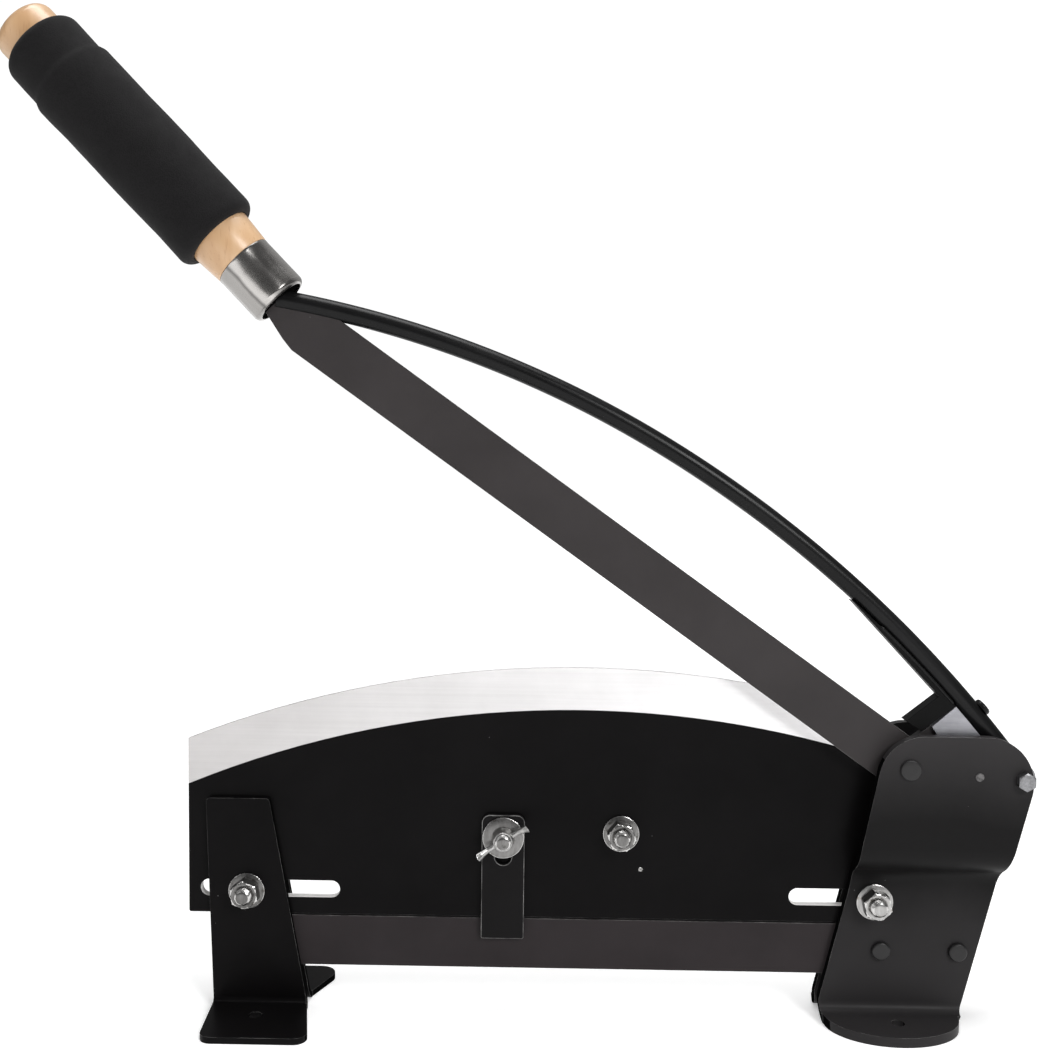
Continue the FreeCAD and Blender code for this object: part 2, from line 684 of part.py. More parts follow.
def make_brace_rod():
    """A round rod bent on two tangent arcs, from the ferrule's mouth to the stop sleeve."""
    join = V(BRACE_JOIN_X, ARM_MID_Y, brace_arc_z(BRACE_JOIN_X, BRACE_R))
    centre = V(BRACE_C[0], ARM_MID_Y, BRACE_C[1])
    outward = join - centre
    outward.normalize()
    left_centre = join - outward * BRACE_LEFT_R

    def on_left(x):
        return V(x, ARM_MID_Y, left_centre.z + math.sqrt(BRACE_LEFT_R ** 2 - (x - left_centre.x) ** 2))

    def on_right(x):
        return V(x, ARM_MID_Y, brace_arc_z(x, BRACE_R))

    start = HANDLE_AT[0] - BRACE_START
    left = Part.Arc(on_left(start), on_left((start + BRACE_JOIN_X) / 2), join).toShape()
    right = Part.Arc(join, on_right((BRACE_JOIN_X + BRACE_END_X) / 2), on_right(BRACE_END_X)).toShape()
    tangent = left.tangentAt(left.FirstParameter)
    section = Part.Wire(Part.makeCircle(ROD_R, on_left(start), tangent))
    return Part.Wire([left, right]).makePipeShell([section], True, False)


def trimmed_rod(brace_screw):
    """The brace rod cut away where it meets the arm's neck, the wood in the ferrule and the screw."""
    arm_profile = plate(arm_outline(), -REACH, REACH)
    side = 2 * FERRULE_R
    inside_handle = on_handle(Part.makeBox(side, side, side, V(-side - WOOD_START, -side / 2, -side / 2)))
    rod = make_brace_rod().cut(arm_profile).cut(inside_handle)
    return max(rod.Solids, key=lambda solid: solid.Volume).cut(brace_screw)


def brace_screw_axis():
    """The brace screw's seat on the rod's outer side, and the direction out of it."""
    seat = V(BRACE_SCREW_X, ARM_MID_Y, brace_arc_z(BRACE_SCREW_X, BRACE_R + ROD_R - BRACE_SCREW_SEAT))
    outward = V(BRACE_SCREW_X - BRACE_C[0], 0, seat.z - BRACE_C[1])
    outward.normalize()
    return seat, outward


def make_brace_screw():
    seat, outward = brace_screw_axis()
    radius, height = BRACE_SCREW_HEAD
    shaft = Part.makeCylinder(SCREW_R, BRACE_SCREW_DEPTH, seat, outward * -1)
    head = Part.makeCylinder(radius, height, seat, outward)
    top = max(head.Faces, key=lambda face: face.CenterOfMass.dot(outward))
    head = head.makeFillet(height / 2, top.Edges)
    return shaft.fuse(head).removeSplitter()


def make_knee():
    """A bent gusset: a thin strip under the rod and a leg that comes down onto the arm's ear."""
    inner = BRACE_R - ROD_R - WELD_GAP
    ends = (KNEE_TOP_X, BLOCK_X[0])
    middle = sum(ends) / 2
    top_left = at_xz(ends[0], brace_arc_z(ends[0], inner))
    top_right = at_xz(ends[1], brace_arc_z(ends[1], inner))
    arc = Part.Arc(top_left, at_xz(middle, brace_arc_z(middle, inner)), top_right).toShape()
    corner = at_xz(KNEE_CORNER[0], KNEE_CORNER[1])
    foot = [at_xz(x, z) for x, z in KNEE_FOOT]
    below = at_xz(ends[0], top_left.z - KNEE_TIP_H)
    sides = Part.makePolygon([top_right, foot[1], foot[0], corner, below, top_left])
    body = Part.Face(Part.Wire([arc] + sides.Edges)).extrude(V(0, KNEE_Y[1] - KNEE_Y[0], 0))
    body.translate(V(0, KNEE_Y[0], 0))
    return body


def make_pivot_block():
    """The bare steel block between the knee, the rod and the arm, chamfered beside the arm's ear."""
    inner = BRACE_R - ROD_R - WELD_GAP
    x0, x1 = BLOCK_X[0] + WELD_GAP, BLOCK_X[1]
    middle = (x0 + x1) / 2
    left = at_xz(x0, brace_arc_z(x0, inner))
    right = at_xz(x1, brace_arc_z(x1, inner))
    arc = Part.Arc(left, at_xz(middle, brace_arc_z(middle, inner)), right).toShape()
    low = [at_xz(x, z) for x, z in BLOCK_LOW]
    sides = Part.makePolygon([right] + low + [left])
    body = Part.Face(Part.Wire([arc] + sides.Edges)).extrude(V(0, BLOCK_Y[1] - BLOCK_Y[0], 0))
    body.translate(V(0, BLOCK_Y[0], 0))
    edge_start = at_xz(BLOCK_LOW[2][0], BLOCK_LOW[2][1]) + V(0, BLOCK_Y[0], 0)
    edge_end = at_xz(BLOCK_LOW[3][0], BLOCK_LOW[3][1]) + V(0, BLOCK_Y[0], 0)
    middle_of_edge = (edge_start + edge_end) * 0.5
    near = min(body.Edges, key=lambda edge: edge.CenterOfMass.distanceToPoint(middle_of_edge))
    return body.makeChamfer(BLOCK_CHAMFER, [near])


# ---------------------------------------------------------------- handle

def make_ferrule():
    """A thin cup with its mouth end rolled in over the wood."""
    roll = FERRULE_R - FERRULE_MOUTH_R
    centre = (roll, FERRULE_MOUTH_R)
    outside = round_points(centre, roll, 90, 180)
    inside = round_points(centre, roll - FERRULE_WALL, 180, 90)
    return turned([(FERRULE_L, FERRULE_R)] + outside + inside + [(FERRULE_L, FERRULE_R - FERRULE_WALL)])


def wood_profile():
    """The wood: a nose inside the ferrule, a bare neck, a stretch under the foam and a round end."""
    bore = FERRULE_R - FERRULE_WALL - END_GAP
    nose = FERRULE_R - FERRULE_MOUTH_R + FERRULE_WALL
    step = FERRULE_L + END_GAP
    profile = [(WOOD_START, 0.0), (WOOD_START, FERRULE_MOUTH_R - FERRULE_WALL), (nose, bore)]
    profile += [(step, bore), (step, WOOD_NECK_R), (FOAM[0], WOOD_R), (FOAM[0] + WOOD_SHOULDER, WOOD_END_R)]
    profile += round_points((WOOD_END - WOOD_CROWN, WOOD_END_R - WOOD_CROWN), WOOD_CROWN, 90, 0)
    return profile + [(WOOD_END, 0.0)]


def foam_profile():
    """The foam sleeve: rounded ends, a full middle and a thinner stretch by the free end."""
    start, end = FOAM[0] + END_GAP, FOAM[1]
    bore = WOOD_END_R + END_GAP
    profile = [(start, WOOD_R + END_GAP)]
    profile += round_points((start + FOAM_ROUND, FOAM_R - FOAM_ROUND), FOAM_ROUND, 180, 90)
    profile += [(end - FOAM_STEP, FOAM_R), (end - FOAM_STEP + FOAM_TAPER, FOAM_END_R)]
    profile += round_points((end - FOAM_ROUND, FOAM_END_R - FOAM_ROUND), FOAM_ROUND, 90, 0)
    return profile + [(end, bore), (FOAM[0] + WOOD_SHOULDER + END_GAP, bore)]


def handle_pin():
    """A pin driven in from the far side, through ferrule, wood and tang."""
    x, z = handle_point(HANDLE_PIN_AT, sum(NECK_OFFSETS) / 2)
    return rod_y(x, z, HANDLE_PIN_R, ARM_Y[0] - HANDLE_PIN_PAST, ARM_MID_Y + FERRULE_R - FERRULE_WALL)


# ---------------------------------------------------------------- build

def build():
    os.makedirs("parts", exist_ok=True)
    bracket = make_bracket()
    save("base_plate", make_base_plate())
    save("lower_blade", make_lower_blade())
    save("spine_bar", make_spine_bar())
    save("clamp_strap", make_clamp_strap())
    save("bracket_near", bracket)
    save("bracket_far", mirrored(bracket))
    save("bracket_rivets", make_rivets())
    save("leg_near", make_leg(NEAR_REACH, NEAR_TIP_X, NEAR_TIP_R))
    save("leg_far", mirrored(make_leg(FAR_REACH, FAR_TIP_X, FAR_TIP_R)))

    # bolts, washers and nuts, with the nuts on the user's side
    low = BRACKET_LOW_Y
    save("bracket_bolt", hex_bolt(BRACKET_BOLT, -low, low))
    save("bracket_washers", washer_pair(BRACKET_BOLT, low))
    save("bracket_nut", nut(BRACKET_BOLT, -low - WASHER_T, BRACKET_NUT_TURN))
    save("leg_bolt", hex_bolt(LEG_BOLT, -LEG_OUT_Y, LEG_OUT_Y))
    save("leg_washers", washer_pair(LEG_BOLT, LEG_OUT_Y))
    save("leg_nut", nut(LEG_BOLT, -LEG_OUT_Y - WASHER_T, LEG_NUT_TURN))
    save("blade_bolt", carriage_bolt(BLADE_BOLT, tip_y(SHEAR_Y), BLADE_BACK))
    save("blade_washer", washer(BLADE_BOLT, SHEAR_Y - WASHER_T))
    save("blade_nut", nut(BLADE_BOLT, SHEAR_Y - WASHER_T, BLADE_NUT_TURN))
    save("clamp_bolt", carriage_bolt(CLAMP_BOLT, tip_y(STRAP_Y, CLAMP_STICK_OUT), BLADE_BACK))
    save("clamp_washer", washer(CLAMP_BOLT, STRAP_Y - WASHER_T, CLAMP_WASHER_R))
    save("wing_nut", make_wing_nut(STRAP_Y - WASHER_T - TURN_GAP))

    # pivot, stop and tie, across the two bracket plates
    x, z = PIVOT
    pin = rod_y(x, z, PIVOT_R, -BRACKET_OUT_Y, BRACKET_OUT_Y)
    for side in (-1, 1):
        pin = pin.fuse(dome(x, z, PIVOT_HEAD_R, PIVOT_HEAD_H, side * BRACKET_OUT_Y, side))
    save("pivot_pin", pin)
    bore = PIVOT_R + TURN_GAP
    thrust = ARM_Y[0] - TURN_GAP - WASHER_T
    save("pivot_spacer", ring_y(x, z, SPACER_R, bore, UPPER_BLADE_Y[1] + TURN_GAP, BRACKET_IN_Y - END_GAP))
    save("thrust_washer", ring_y(x, z, THRUST_WASHER_R, bore, thrust, thrust + WASHER_T))
    save("wave_washer", ring_y(x, z, WAVE_WASHER_R, bore, -BRACKET_IN_Y + END_GAP, thrust - END_GAP))
    x, z = STOP
    head_y = BRACKET_OUT_Y + STOP_HEAD_H
    inside = BRACKET_IN_Y - END_GAP
    stop_head = hexagon(x, z, STOP_HEAD_AF, -head_y, -BRACKET_OUT_Y, STOP_HEAD_TURN)
    stop_nut = hexagon(x, z, STOP_HEAD_AF, BRACKET_OUT_Y, head_y)
    save("stop_bolt", rod_y(x, z, STOP_R, -BRACKET_OUT_Y, head_y + STOP_STICK_OUT).fuse(stop_head))
    save("stop_sleeve", ring_y(x, z, STOP_SLEEVE_R, STOP_R + END_GAP, -inside, inside))
    save("stop_nut", stop_nut.cut(rod_y(x, z, STOP_R, -REACH, REACH)))
    tie_y = BRACKET_OUT_Y + TIE_STICK_OUT
    save("tie_pin", rod_y(TIE[0], TIE[1], TIE_R, -tie_y, tie_y))

    # the arm and everything on it, drawn level and then tipped open
    arm = make_arm_bar()
    screws = screw_row()
    brace_screw = make_brace_screw()
    pin = handle_pin()
    wood = on_handle(turned(wood_profile())).cut(arm).cut(pin)
    ferrule = on_handle(make_ferrule())
    rod = trimmed_rod(brace_screw)
    save("arm_bar", tip_arm(arm.cut(screws).cut(pin)))
    save("upper_blade", tip_arm(make_upper_blade().cut(screws)))
    save("blade_screws", tip_arm(screws))
    save("brace_rod", tip_arm(rod))
    save("knee_gusset", tip_arm(make_knee()))
    save("pivot_block", tip_arm(make_pivot_block().cut(brace_screw)))
    save("brace_screw", tip_arm(brace_screw))
    save("pivot_bush", tip_arm(ring_y(0, 0, BUSH_R, PIVOT_R + RUN_FIT, ARM_Y[0], UPPER_BLADE_Y[1])))
    save("ferrule", tip_arm(ferrule.cut(pin)))
    save("handle_core", tip_arm(wood))
    save("foam_grip", tip_arm(on_handle(turned(foam_profile()))))
    save("handle_pin", tip_arm(pin))


build()
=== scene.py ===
import json
import math

import bmesh
import bpy
from mathutils import Matrix, Vector, noise


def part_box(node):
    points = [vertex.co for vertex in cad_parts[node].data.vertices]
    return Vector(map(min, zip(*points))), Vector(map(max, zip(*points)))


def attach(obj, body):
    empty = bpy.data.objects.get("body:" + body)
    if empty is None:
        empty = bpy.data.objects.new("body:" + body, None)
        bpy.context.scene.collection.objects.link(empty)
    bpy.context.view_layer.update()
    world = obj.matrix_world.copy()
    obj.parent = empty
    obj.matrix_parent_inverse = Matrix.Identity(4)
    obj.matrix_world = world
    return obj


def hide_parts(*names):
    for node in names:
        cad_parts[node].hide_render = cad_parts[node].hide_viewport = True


# A lever shear for tile. Metres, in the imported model's frame: +Z up, the user on the -Y side.

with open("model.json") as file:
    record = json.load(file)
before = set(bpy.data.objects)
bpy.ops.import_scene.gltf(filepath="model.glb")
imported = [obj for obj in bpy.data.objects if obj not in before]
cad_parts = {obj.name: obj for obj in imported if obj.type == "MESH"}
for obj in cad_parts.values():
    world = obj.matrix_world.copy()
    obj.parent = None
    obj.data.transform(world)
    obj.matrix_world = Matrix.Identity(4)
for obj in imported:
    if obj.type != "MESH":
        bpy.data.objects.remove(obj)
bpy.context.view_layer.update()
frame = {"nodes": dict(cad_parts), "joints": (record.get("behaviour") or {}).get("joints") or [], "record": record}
scene = bpy.context.scene
MM = 0.001

# --- places and sizes shared by several pieces
SLOTS = {row["node"]: row["material_slot"] for row in frame["record"]["subparts"]}
BODY_OF = {n: body for body, members in frame["record"]["behaviour"]["bodies"].items() for n in members}
PIVOT = Vector(next(j for j in frame["joints"] if j["name"] == "arm_pivot")["pos_m"])
OPEN_ANGLE = math.radians(35.4)
ARM_MID_Y = sum(corner.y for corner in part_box("arm_bar")) / 2
HANDLE_AT = (-377.6 * MM, 3.3 * MM)
HANDLE_ANGLE = math.radians(10.7)
PILOT_HOLE = (32.0 * MM, 72.9 * MM)
THREAD_PITCH = 1.41 * MM
THREAD_DEPTH = 0.62 * MM
BOLT_R = 3.95 * MM
NUT_AF = 12.7 * MM
WASHER_R = 9.0 * MM
CLAMP_WASHER_R = 10.25 * MM
STAND_TALL = 160 * MM


def level(x, y, z):
    """A point drawn with the arm level and its pivot at the origin, put where the open arm holds it."""
    return Matrix.Rotation(OPEN_ANGLE, 4, "Y") @ Vector((x, y, z)) + Vector((PIVOT.x, 0, PIVOT.z))


def on_handle(along, across, up):
    """A point at a distance along the handle from the ferrule's mouth, and two offsets across it."""
    cos, sin = math.cos(HANDLE_ANGLE), math.sin(HANDLE_ANGLE)
    x = HANDLE_AT[0] - along * cos + up * sin
    z = HANDLE_AT[1] + along * sin + up * cos
    return level(x, ARM_MID_Y + across, z)


# ---------------------------------------------------------------- node graphs

class Graph:
    """A material's node tree, with short ways to add and join nodes."""

    def __init__(self, name):
        self.material = bpy.data.materials.new(name)
        self.material.use_nodes = True
        self.tree = self.material.node_tree
        self.shader = self.tree.nodes["Principled BSDF"]
        self.coords = self.tree.nodes.new("ShaderNodeTexCoord").outputs["Object"]

    def join(self, output, socket):
        self.tree.links.new(output, socket)

    def placed(self, scale, turn=(0, 0, 0)):
        node = self.tree.nodes.new("ShaderNodeMapping")
        node.inputs["Rotation"].default_value = turn
        node.inputs["Scale"].default_value = scale
        self.join(self.coords, node.inputs["Vector"])
        return node.outputs["Vector"]

    def noise(self, scale, detail=4.0, rough=0.55, vector=None, distortion=0.0):
        node = self.tree.nodes.new("ShaderNodeTexNoise")
        node.inputs["Scale"].default_value = scale
        node.inputs["Detail"].default_value = detail
        node.inputs["Roughness"].default_value = rough
        node.inputs["Distortion"].default_value = distortion
        self.join(vector or self.coords, node.inputs["Vector"])
        return node.outputs["Fac"]

    def cells(self, scale, vector=None):
        node = self.tree.nodes.new("ShaderNodeTexVoronoi")
        node.inputs["Scale"].default_value = scale
        self.join(vector or self.coords, node.inputs["Vector"])
        return node.outputs["Distance"]

    def length_of(self, vector):
        node = self.tree.nodes.new("ShaderNodeVectorMath")
        node.operation = "LENGTH"
        self.join(vector, node.inputs[0])
        return node.outputs["Value"]

    def dot(self, vector, direction, offset):
        node = self.tree.nodes.new("ShaderNodeVectorMath")
        node.operation = "DOT_PRODUCT"
        self.join(vector, node.inputs[0])
        node.inputs[1].default_value = direction
        return self.maths("ADD", node.outputs["Value"], offset)

    def along(self, axis):
        node = self.tree.nodes.new("ShaderNodeSeparateXYZ")
        self.join(self.coords, node.inputs["Vector"])
        return node.outputs[axis]

    def ranged(self, value, from_low, from_high, to_low, to_high):
        node = self.tree.nodes.new("ShaderNodeMapRange")
        for name, number in zip(("From Min", "From Max", "To Min", "To Max"),
                                (from_low, from_high, to_low, to_high)):
            node.inputs[name].default_value = number
        self.join(value, node.inputs["Value"])
        return node.outputs["Result"]

    def maths(self, kind, first, second):
        node = self.tree.nodes.new("ShaderNodeMath")
        node.operation = kind
        self.join(first, node.inputs[0])
        if isinstance(second, float):
            node.inputs[1].default_value = second
        else:
            self.join(second, node.inputs[1])
        return node.outputs["Value"]

    def ramp(self, value, *stops):
        node = self.tree.nodes.new("ShaderNodeValToRGB")
        elements = node.color_ramp.elements
        while len(elements) < len(stops):
            elements.new(0.5)
        for element, (position, colour) in zip(elements, stops):
            element.position = position
            element.color = (*colour, 1)
        self.join(value, node.inputs["Fac"])
        return node.outputs["Color"]

    def mixed(self, factor, first, second):
        node = self.tree.nodes.new("ShaderNodeMix")
        node.data_type = "RGBA"
        self.join(factor, node.inputs["Factor"])
        for socket, colour in ((node.inputs[6], first), (node.inputs[7], second)):
            if isinstance(colour, tuple):
                socket.default_value = (*colour, 1)
            else:
                self.join(colour, socket)
        return node.outputs[2]

    def bump(self, height, distance, strength=1.0, normal=None):
        node = self.tree.nodes.new("ShaderNodeBump")
        node.inputs["Distance"].default_value = distance
        node.inputs["Strength"].default_value = strength
        self.join(height, node.inputs["Height"])
        if normal:
            self.join(normal, node.inputs["Normal"])
        return node.outputs["Normal"]

    def finish(self, colour, roughness, normal, **constants):
        self.join(colour, self.shader.inputs["Base Color"])
        self.join(roughness, self.shader.inputs["Roughness"])
        if normal:
            self.join(normal, self.shader.inputs["Normal"])
        for name, value in constants.items():
            self.shader.inputs[name.replace("_", " ")].default_value = value
        return self.material


def sprayed(g, colour, rough, gloss, clean):
    """Finish a sprayed paint: a fine orange-peel skin and a few pale nicks, fewer where clean is high."""
    nick = g.maths("LESS_THAN", g.cells(150.0), 0.035)
    patch = g.maths("GREATER_THAN", g.noise(30.0, 2.0), clean)
    colour = g.mixed(g.maths("MULTIPLY", nick, patch), colour, (0.16, 0.16, 0.16))
    roughness = g.ranged(g.noise(45.0, 4.0), 0.3, 0.7, *rough)
    peel = g.bump(g.noise(1500.0, 2.0), 0.03 * MM, 0.35)
    normal = g.bump(g.noise(60.0, 3.0), 0.12 * MM, 0.2, peel)
    return g.finish(colour, roughness, normal, Specular_IOR_Level=gloss)


def paint(name, dark, light, rough=(0.3, 0.42), gloss=0.5):
    """Black or near-black paint on steel, a little cloudy."""
    g = Graph(name)
    colour = g.ramp(g.noise(14.0, 5.0, 0.6), (0.3, dark), (0.7, light))
    return sprayed(g, colour, rough, gloss, 0.65)


def paint_with_painted_shade(name, stops, rough, gloss):
    """Paint whose tone changes with height from the bottom of a plate to its top: painted shade and painted
    highlight, for how light falls on the plate.
    """
    g = Graph(name)
    cloud = g.ranged(g.noise(14.0, 5.0, 0.6), 0.3, 0.7, -6 * MM, 6 * MM)
    height = g.maths("ADD", g.along("Z"), cloud)
    tones = [(z / STAND_TALL, (tone, tone * 0.94, tone * 0.97)) for z, tone in stops]
    colour = g.ramp(g.ranged(height, 0.0, STAND_TALL, 0.0, 1.0), *tones)
    return sprayed(g, colour, rough, gloss, 0.62)


def scuffed(name):
    """The end of a pin filed flush and painted over, with the paint rubbed thin in patches."""
    g = Graph(name)
    smudge = g.noise(420.0, 4.0, 0.65)
    colour = g.ramp(smudge, (0.35, (0.02, 0.019, 0.02)), (0.6, (0.13, 0.125, 0.125)))
    roughness = g.ranged(smudge, 0.3, 0.7, 0.35, 0.5)
    return g.finish(colour, roughness, g.bump(smudge, 0.08 * MM, 0.5), Specular_IOR_Level=0.4)


def nickel_with_painted_reflections(name):
    """Nickelled steel with a fine grain, and painted reflections: light and dark bands along the barrel, set by
    the distance across the handle's axis.
    """
    g = Graph(name)
    middle = on_handle(0, 0, 0)
    outward = on_handle(0, 0, 1) - middle
    across = g.dot(g.coords, outward, -middle.dot(outward))
    wave = g.ranged(g.noise(60.0, 3.0), 0.3, 0.7, -0.6 * MM, 0.6 * MM)
    reach = 14.8 * MM
    place = g.ranged(g.maths("ADD", across, wave), -reach, reach, 0.0, 1.0)
    # Painted reflections: the tone at each distance across the barrel.
    tones = ((0.0, 0.24), (0.04, 0.32), (0.24, 0.34), (0.285, 0.15), (0.33, 0.46), (0.47, 0.52),
             (0.58, 0.27), (0.68, 0.16), (0.87, 0.15), (0.93, 0.36), (1.0, 0.50))
    colour = g.ramp(place, *[(spot, (tone, tone * 0.965, tone * 0.93)) for spot, tone in tones])
    roughness = g.ranged(g.noise(90.0, 3.0), 0.3, 0.7, 0.16, 0.26)
    return g.finish(colour, roughness, g.bump(g.noise(700.0, 3.0), 0.01 * MM, 0.12), Metallic=0.9)


def worn_edge(name, dark, light):
    """The rounded edges of a painted plate, where the paint is thin and rubbed; the pale patches are also a
    painted highlight along the edges.
    """
    g = Graph(name)
    rub = g.noise(90.0, 5.0, 0.7)
    colour = g.ramp(rub, (0.42, dark), (0.62, light))
    roughness = g.ranged(rub, 0.3, 0.7, 0.32, 0.24)
    normal = g.bump(g.noise(700.0, 2.0), 0.02 * MM, 0.4)
    return g.finish(colour, roughness, normal, Specular_IOR_Level=0.6)


def metal(name, dark, light, rough, brush, metallic=1.0, stain=None):
    """Bare or plated metal: fine scratches along one direction, with clouds of dull and bright."""
    g = Graph(name)
    lines = g.noise(1.0, 3.0, 0.7, g.placed(brush))
    cloud = g.noise(40.0, 5.0, 0.6)
    both = g.maths("ADD", g.maths("MULTIPLY", lines, 0.45), g.maths("MULTIPLY", cloud, 0.55))
    colour = g.ramp(both, (0.35, dark), (0.65, light))
    if stain:
        spots = g.ranged(g.noise(220.0, 3.0), 0.62, 0.72, 0.0, 1.0)
        colour = g.mixed(spots, colour, stain)
    roughness = g.ranged(both, 0.3, 0.7, *rough)
    normal = g.bump(lines, 0.02 * MM, 0.35)
    return g.finish(colour, roughness, normal, Metallic=metallic)


def blade(name):
    """Ground blade steel: fine long scratches, and painted shade: darker at the free end than towards the pivot.
    """
    g = Graph(name)
    lines = g.noise(1.0, 3.0, 0.7, g.placed((7.0, 500.0, 500.0)))
    cloud = g.noise(18.0, 5.0, 0.6)
    both = g.maths("ADD", g.maths("MULTIPLY", lines, 0.35), g.maths("MULTIPLY", cloud, 0.65))
    shaded_steel = g.ramp(both, (0.35, (0.50, 0.48, 0.475)), (0.65, (0.60, 0.58, 0.575)))
    bright = g.ramp(both, (0.35, (0.82, 0.81, 0.81)), (0.65, (0.96, 0.95, 0.955)))
    # Painted shade: the steel darkens from the pivot towards the free end.
    share = g.ranged(g.along("X"), -0.24, 0.06, 0.0, 1.0)
    roughness = g.ranged(both, 0.3, 0.7, 0.45, 0.58)
    normal = g.bump(lines, 0.02 * MM, 0.3)
    return g.finish(g.mixed(share, shaded_steel, bright), roughness, normal, Metallic=0.3, Specular_IOR_Level=0.3)


def wood(name):
    """Lacquered beech: long pale figure, short dark flecks and faint growth lines."""
    g = Graph(name)
    turn = (0, math.pi / 2 - (OPEN_ANGLE + HANDLE_ANGLE), 0)
    long_grain = g.noise(1.0, 4.0, 0.6, g.placed((260.0, 260.0, 9.0), turn), 0.6)
    figure = g.noise(1.0, 3.0, 0.5, g.placed((45.0, 45.0, 5.0), turn), 1.2)
    tones = ((0.3, (0.49, 0.29, 0.145)), (0.5, (0.56, 0.35, 0.19)), (0.72, (0.62, 0.42, 0.25)))
    colour = g.ramp(figure, *tones)
    dashes = g.noise(1.0, 2.0, 0.5, g.placed((900.0, 900.0, 70.0), turn))
    fleck = g.ranged(dashes, 0.60, 0.70, 0.0, 0.55)
    colour = g.mixed(fleck, colour, (0.42, 0.23, 0.11))
    lines = g.ranged(long_grain, 0.35, 0.6, 0.35, 0.0)
    colour = g.mixed(lines, colour, (0.52, 0.31, 0.16))
    roughness = g.ranged(long_grain, 0.3, 0.7, 0.42, 0.32)
    normal = g.bump(long_grain, 0.05 * MM, 0.3)
    return g.finish(colour, roughness, normal, Coat_Weight=0.35, Coat_Roughness=0.25)


def foam(name):
    """Closed-cell foam: a dull black skin with fine open pores."""
    g = Graph(name)
    pores = g.cells(1500.0)
    clouds = g.noise(120.0, 4.0)
    colour = g.ramp(pores, (0.05, (0.004, 0.004, 0.004)), (0.5, (0.009, 0.0085, 0.009)))
    roughness = g.ranged(clouds, 0.3, 0.7, 0.85, 0.95)
    skin = g.bump(pores, 0.12 * MM, 0.6)
    normal = g.bump(clouds, 0.3 * MM, 0.35, skin)
    return g.finish(colour, roughness, normal, Specular_IOR_Level=0.15,
                    Sheen_Weight=0.04, Sheen_Roughness=0.5)


def floor_paper(name):
    """Seamless white paper that glows a little, more away from the tool, so only contact shadows read."""
    g = Graph(name)
    colour = g.ramp(g.noise(3.0, 2.0), (0.3, (0.93, 0.93, 0.93)), (0.7, (0.95, 0.95, 0.95)))
    roughness = g.ranged(g.noise(50.0, 2.0), 0.3, 0.7, 0.7, 0.8)
    material = g.finish(colour, roughness, None, Specular_IOR_Level=0.1)
    distance = g.length_of(g.coords)
    g.join(g.ranged(distance, 0.55, 1.5, 0.36, 1.0), g.shader.inputs["Emission Strength"])
    g.shader.inputs["Emission Color"].default_value = (1, 1, 1, 1)
    return material


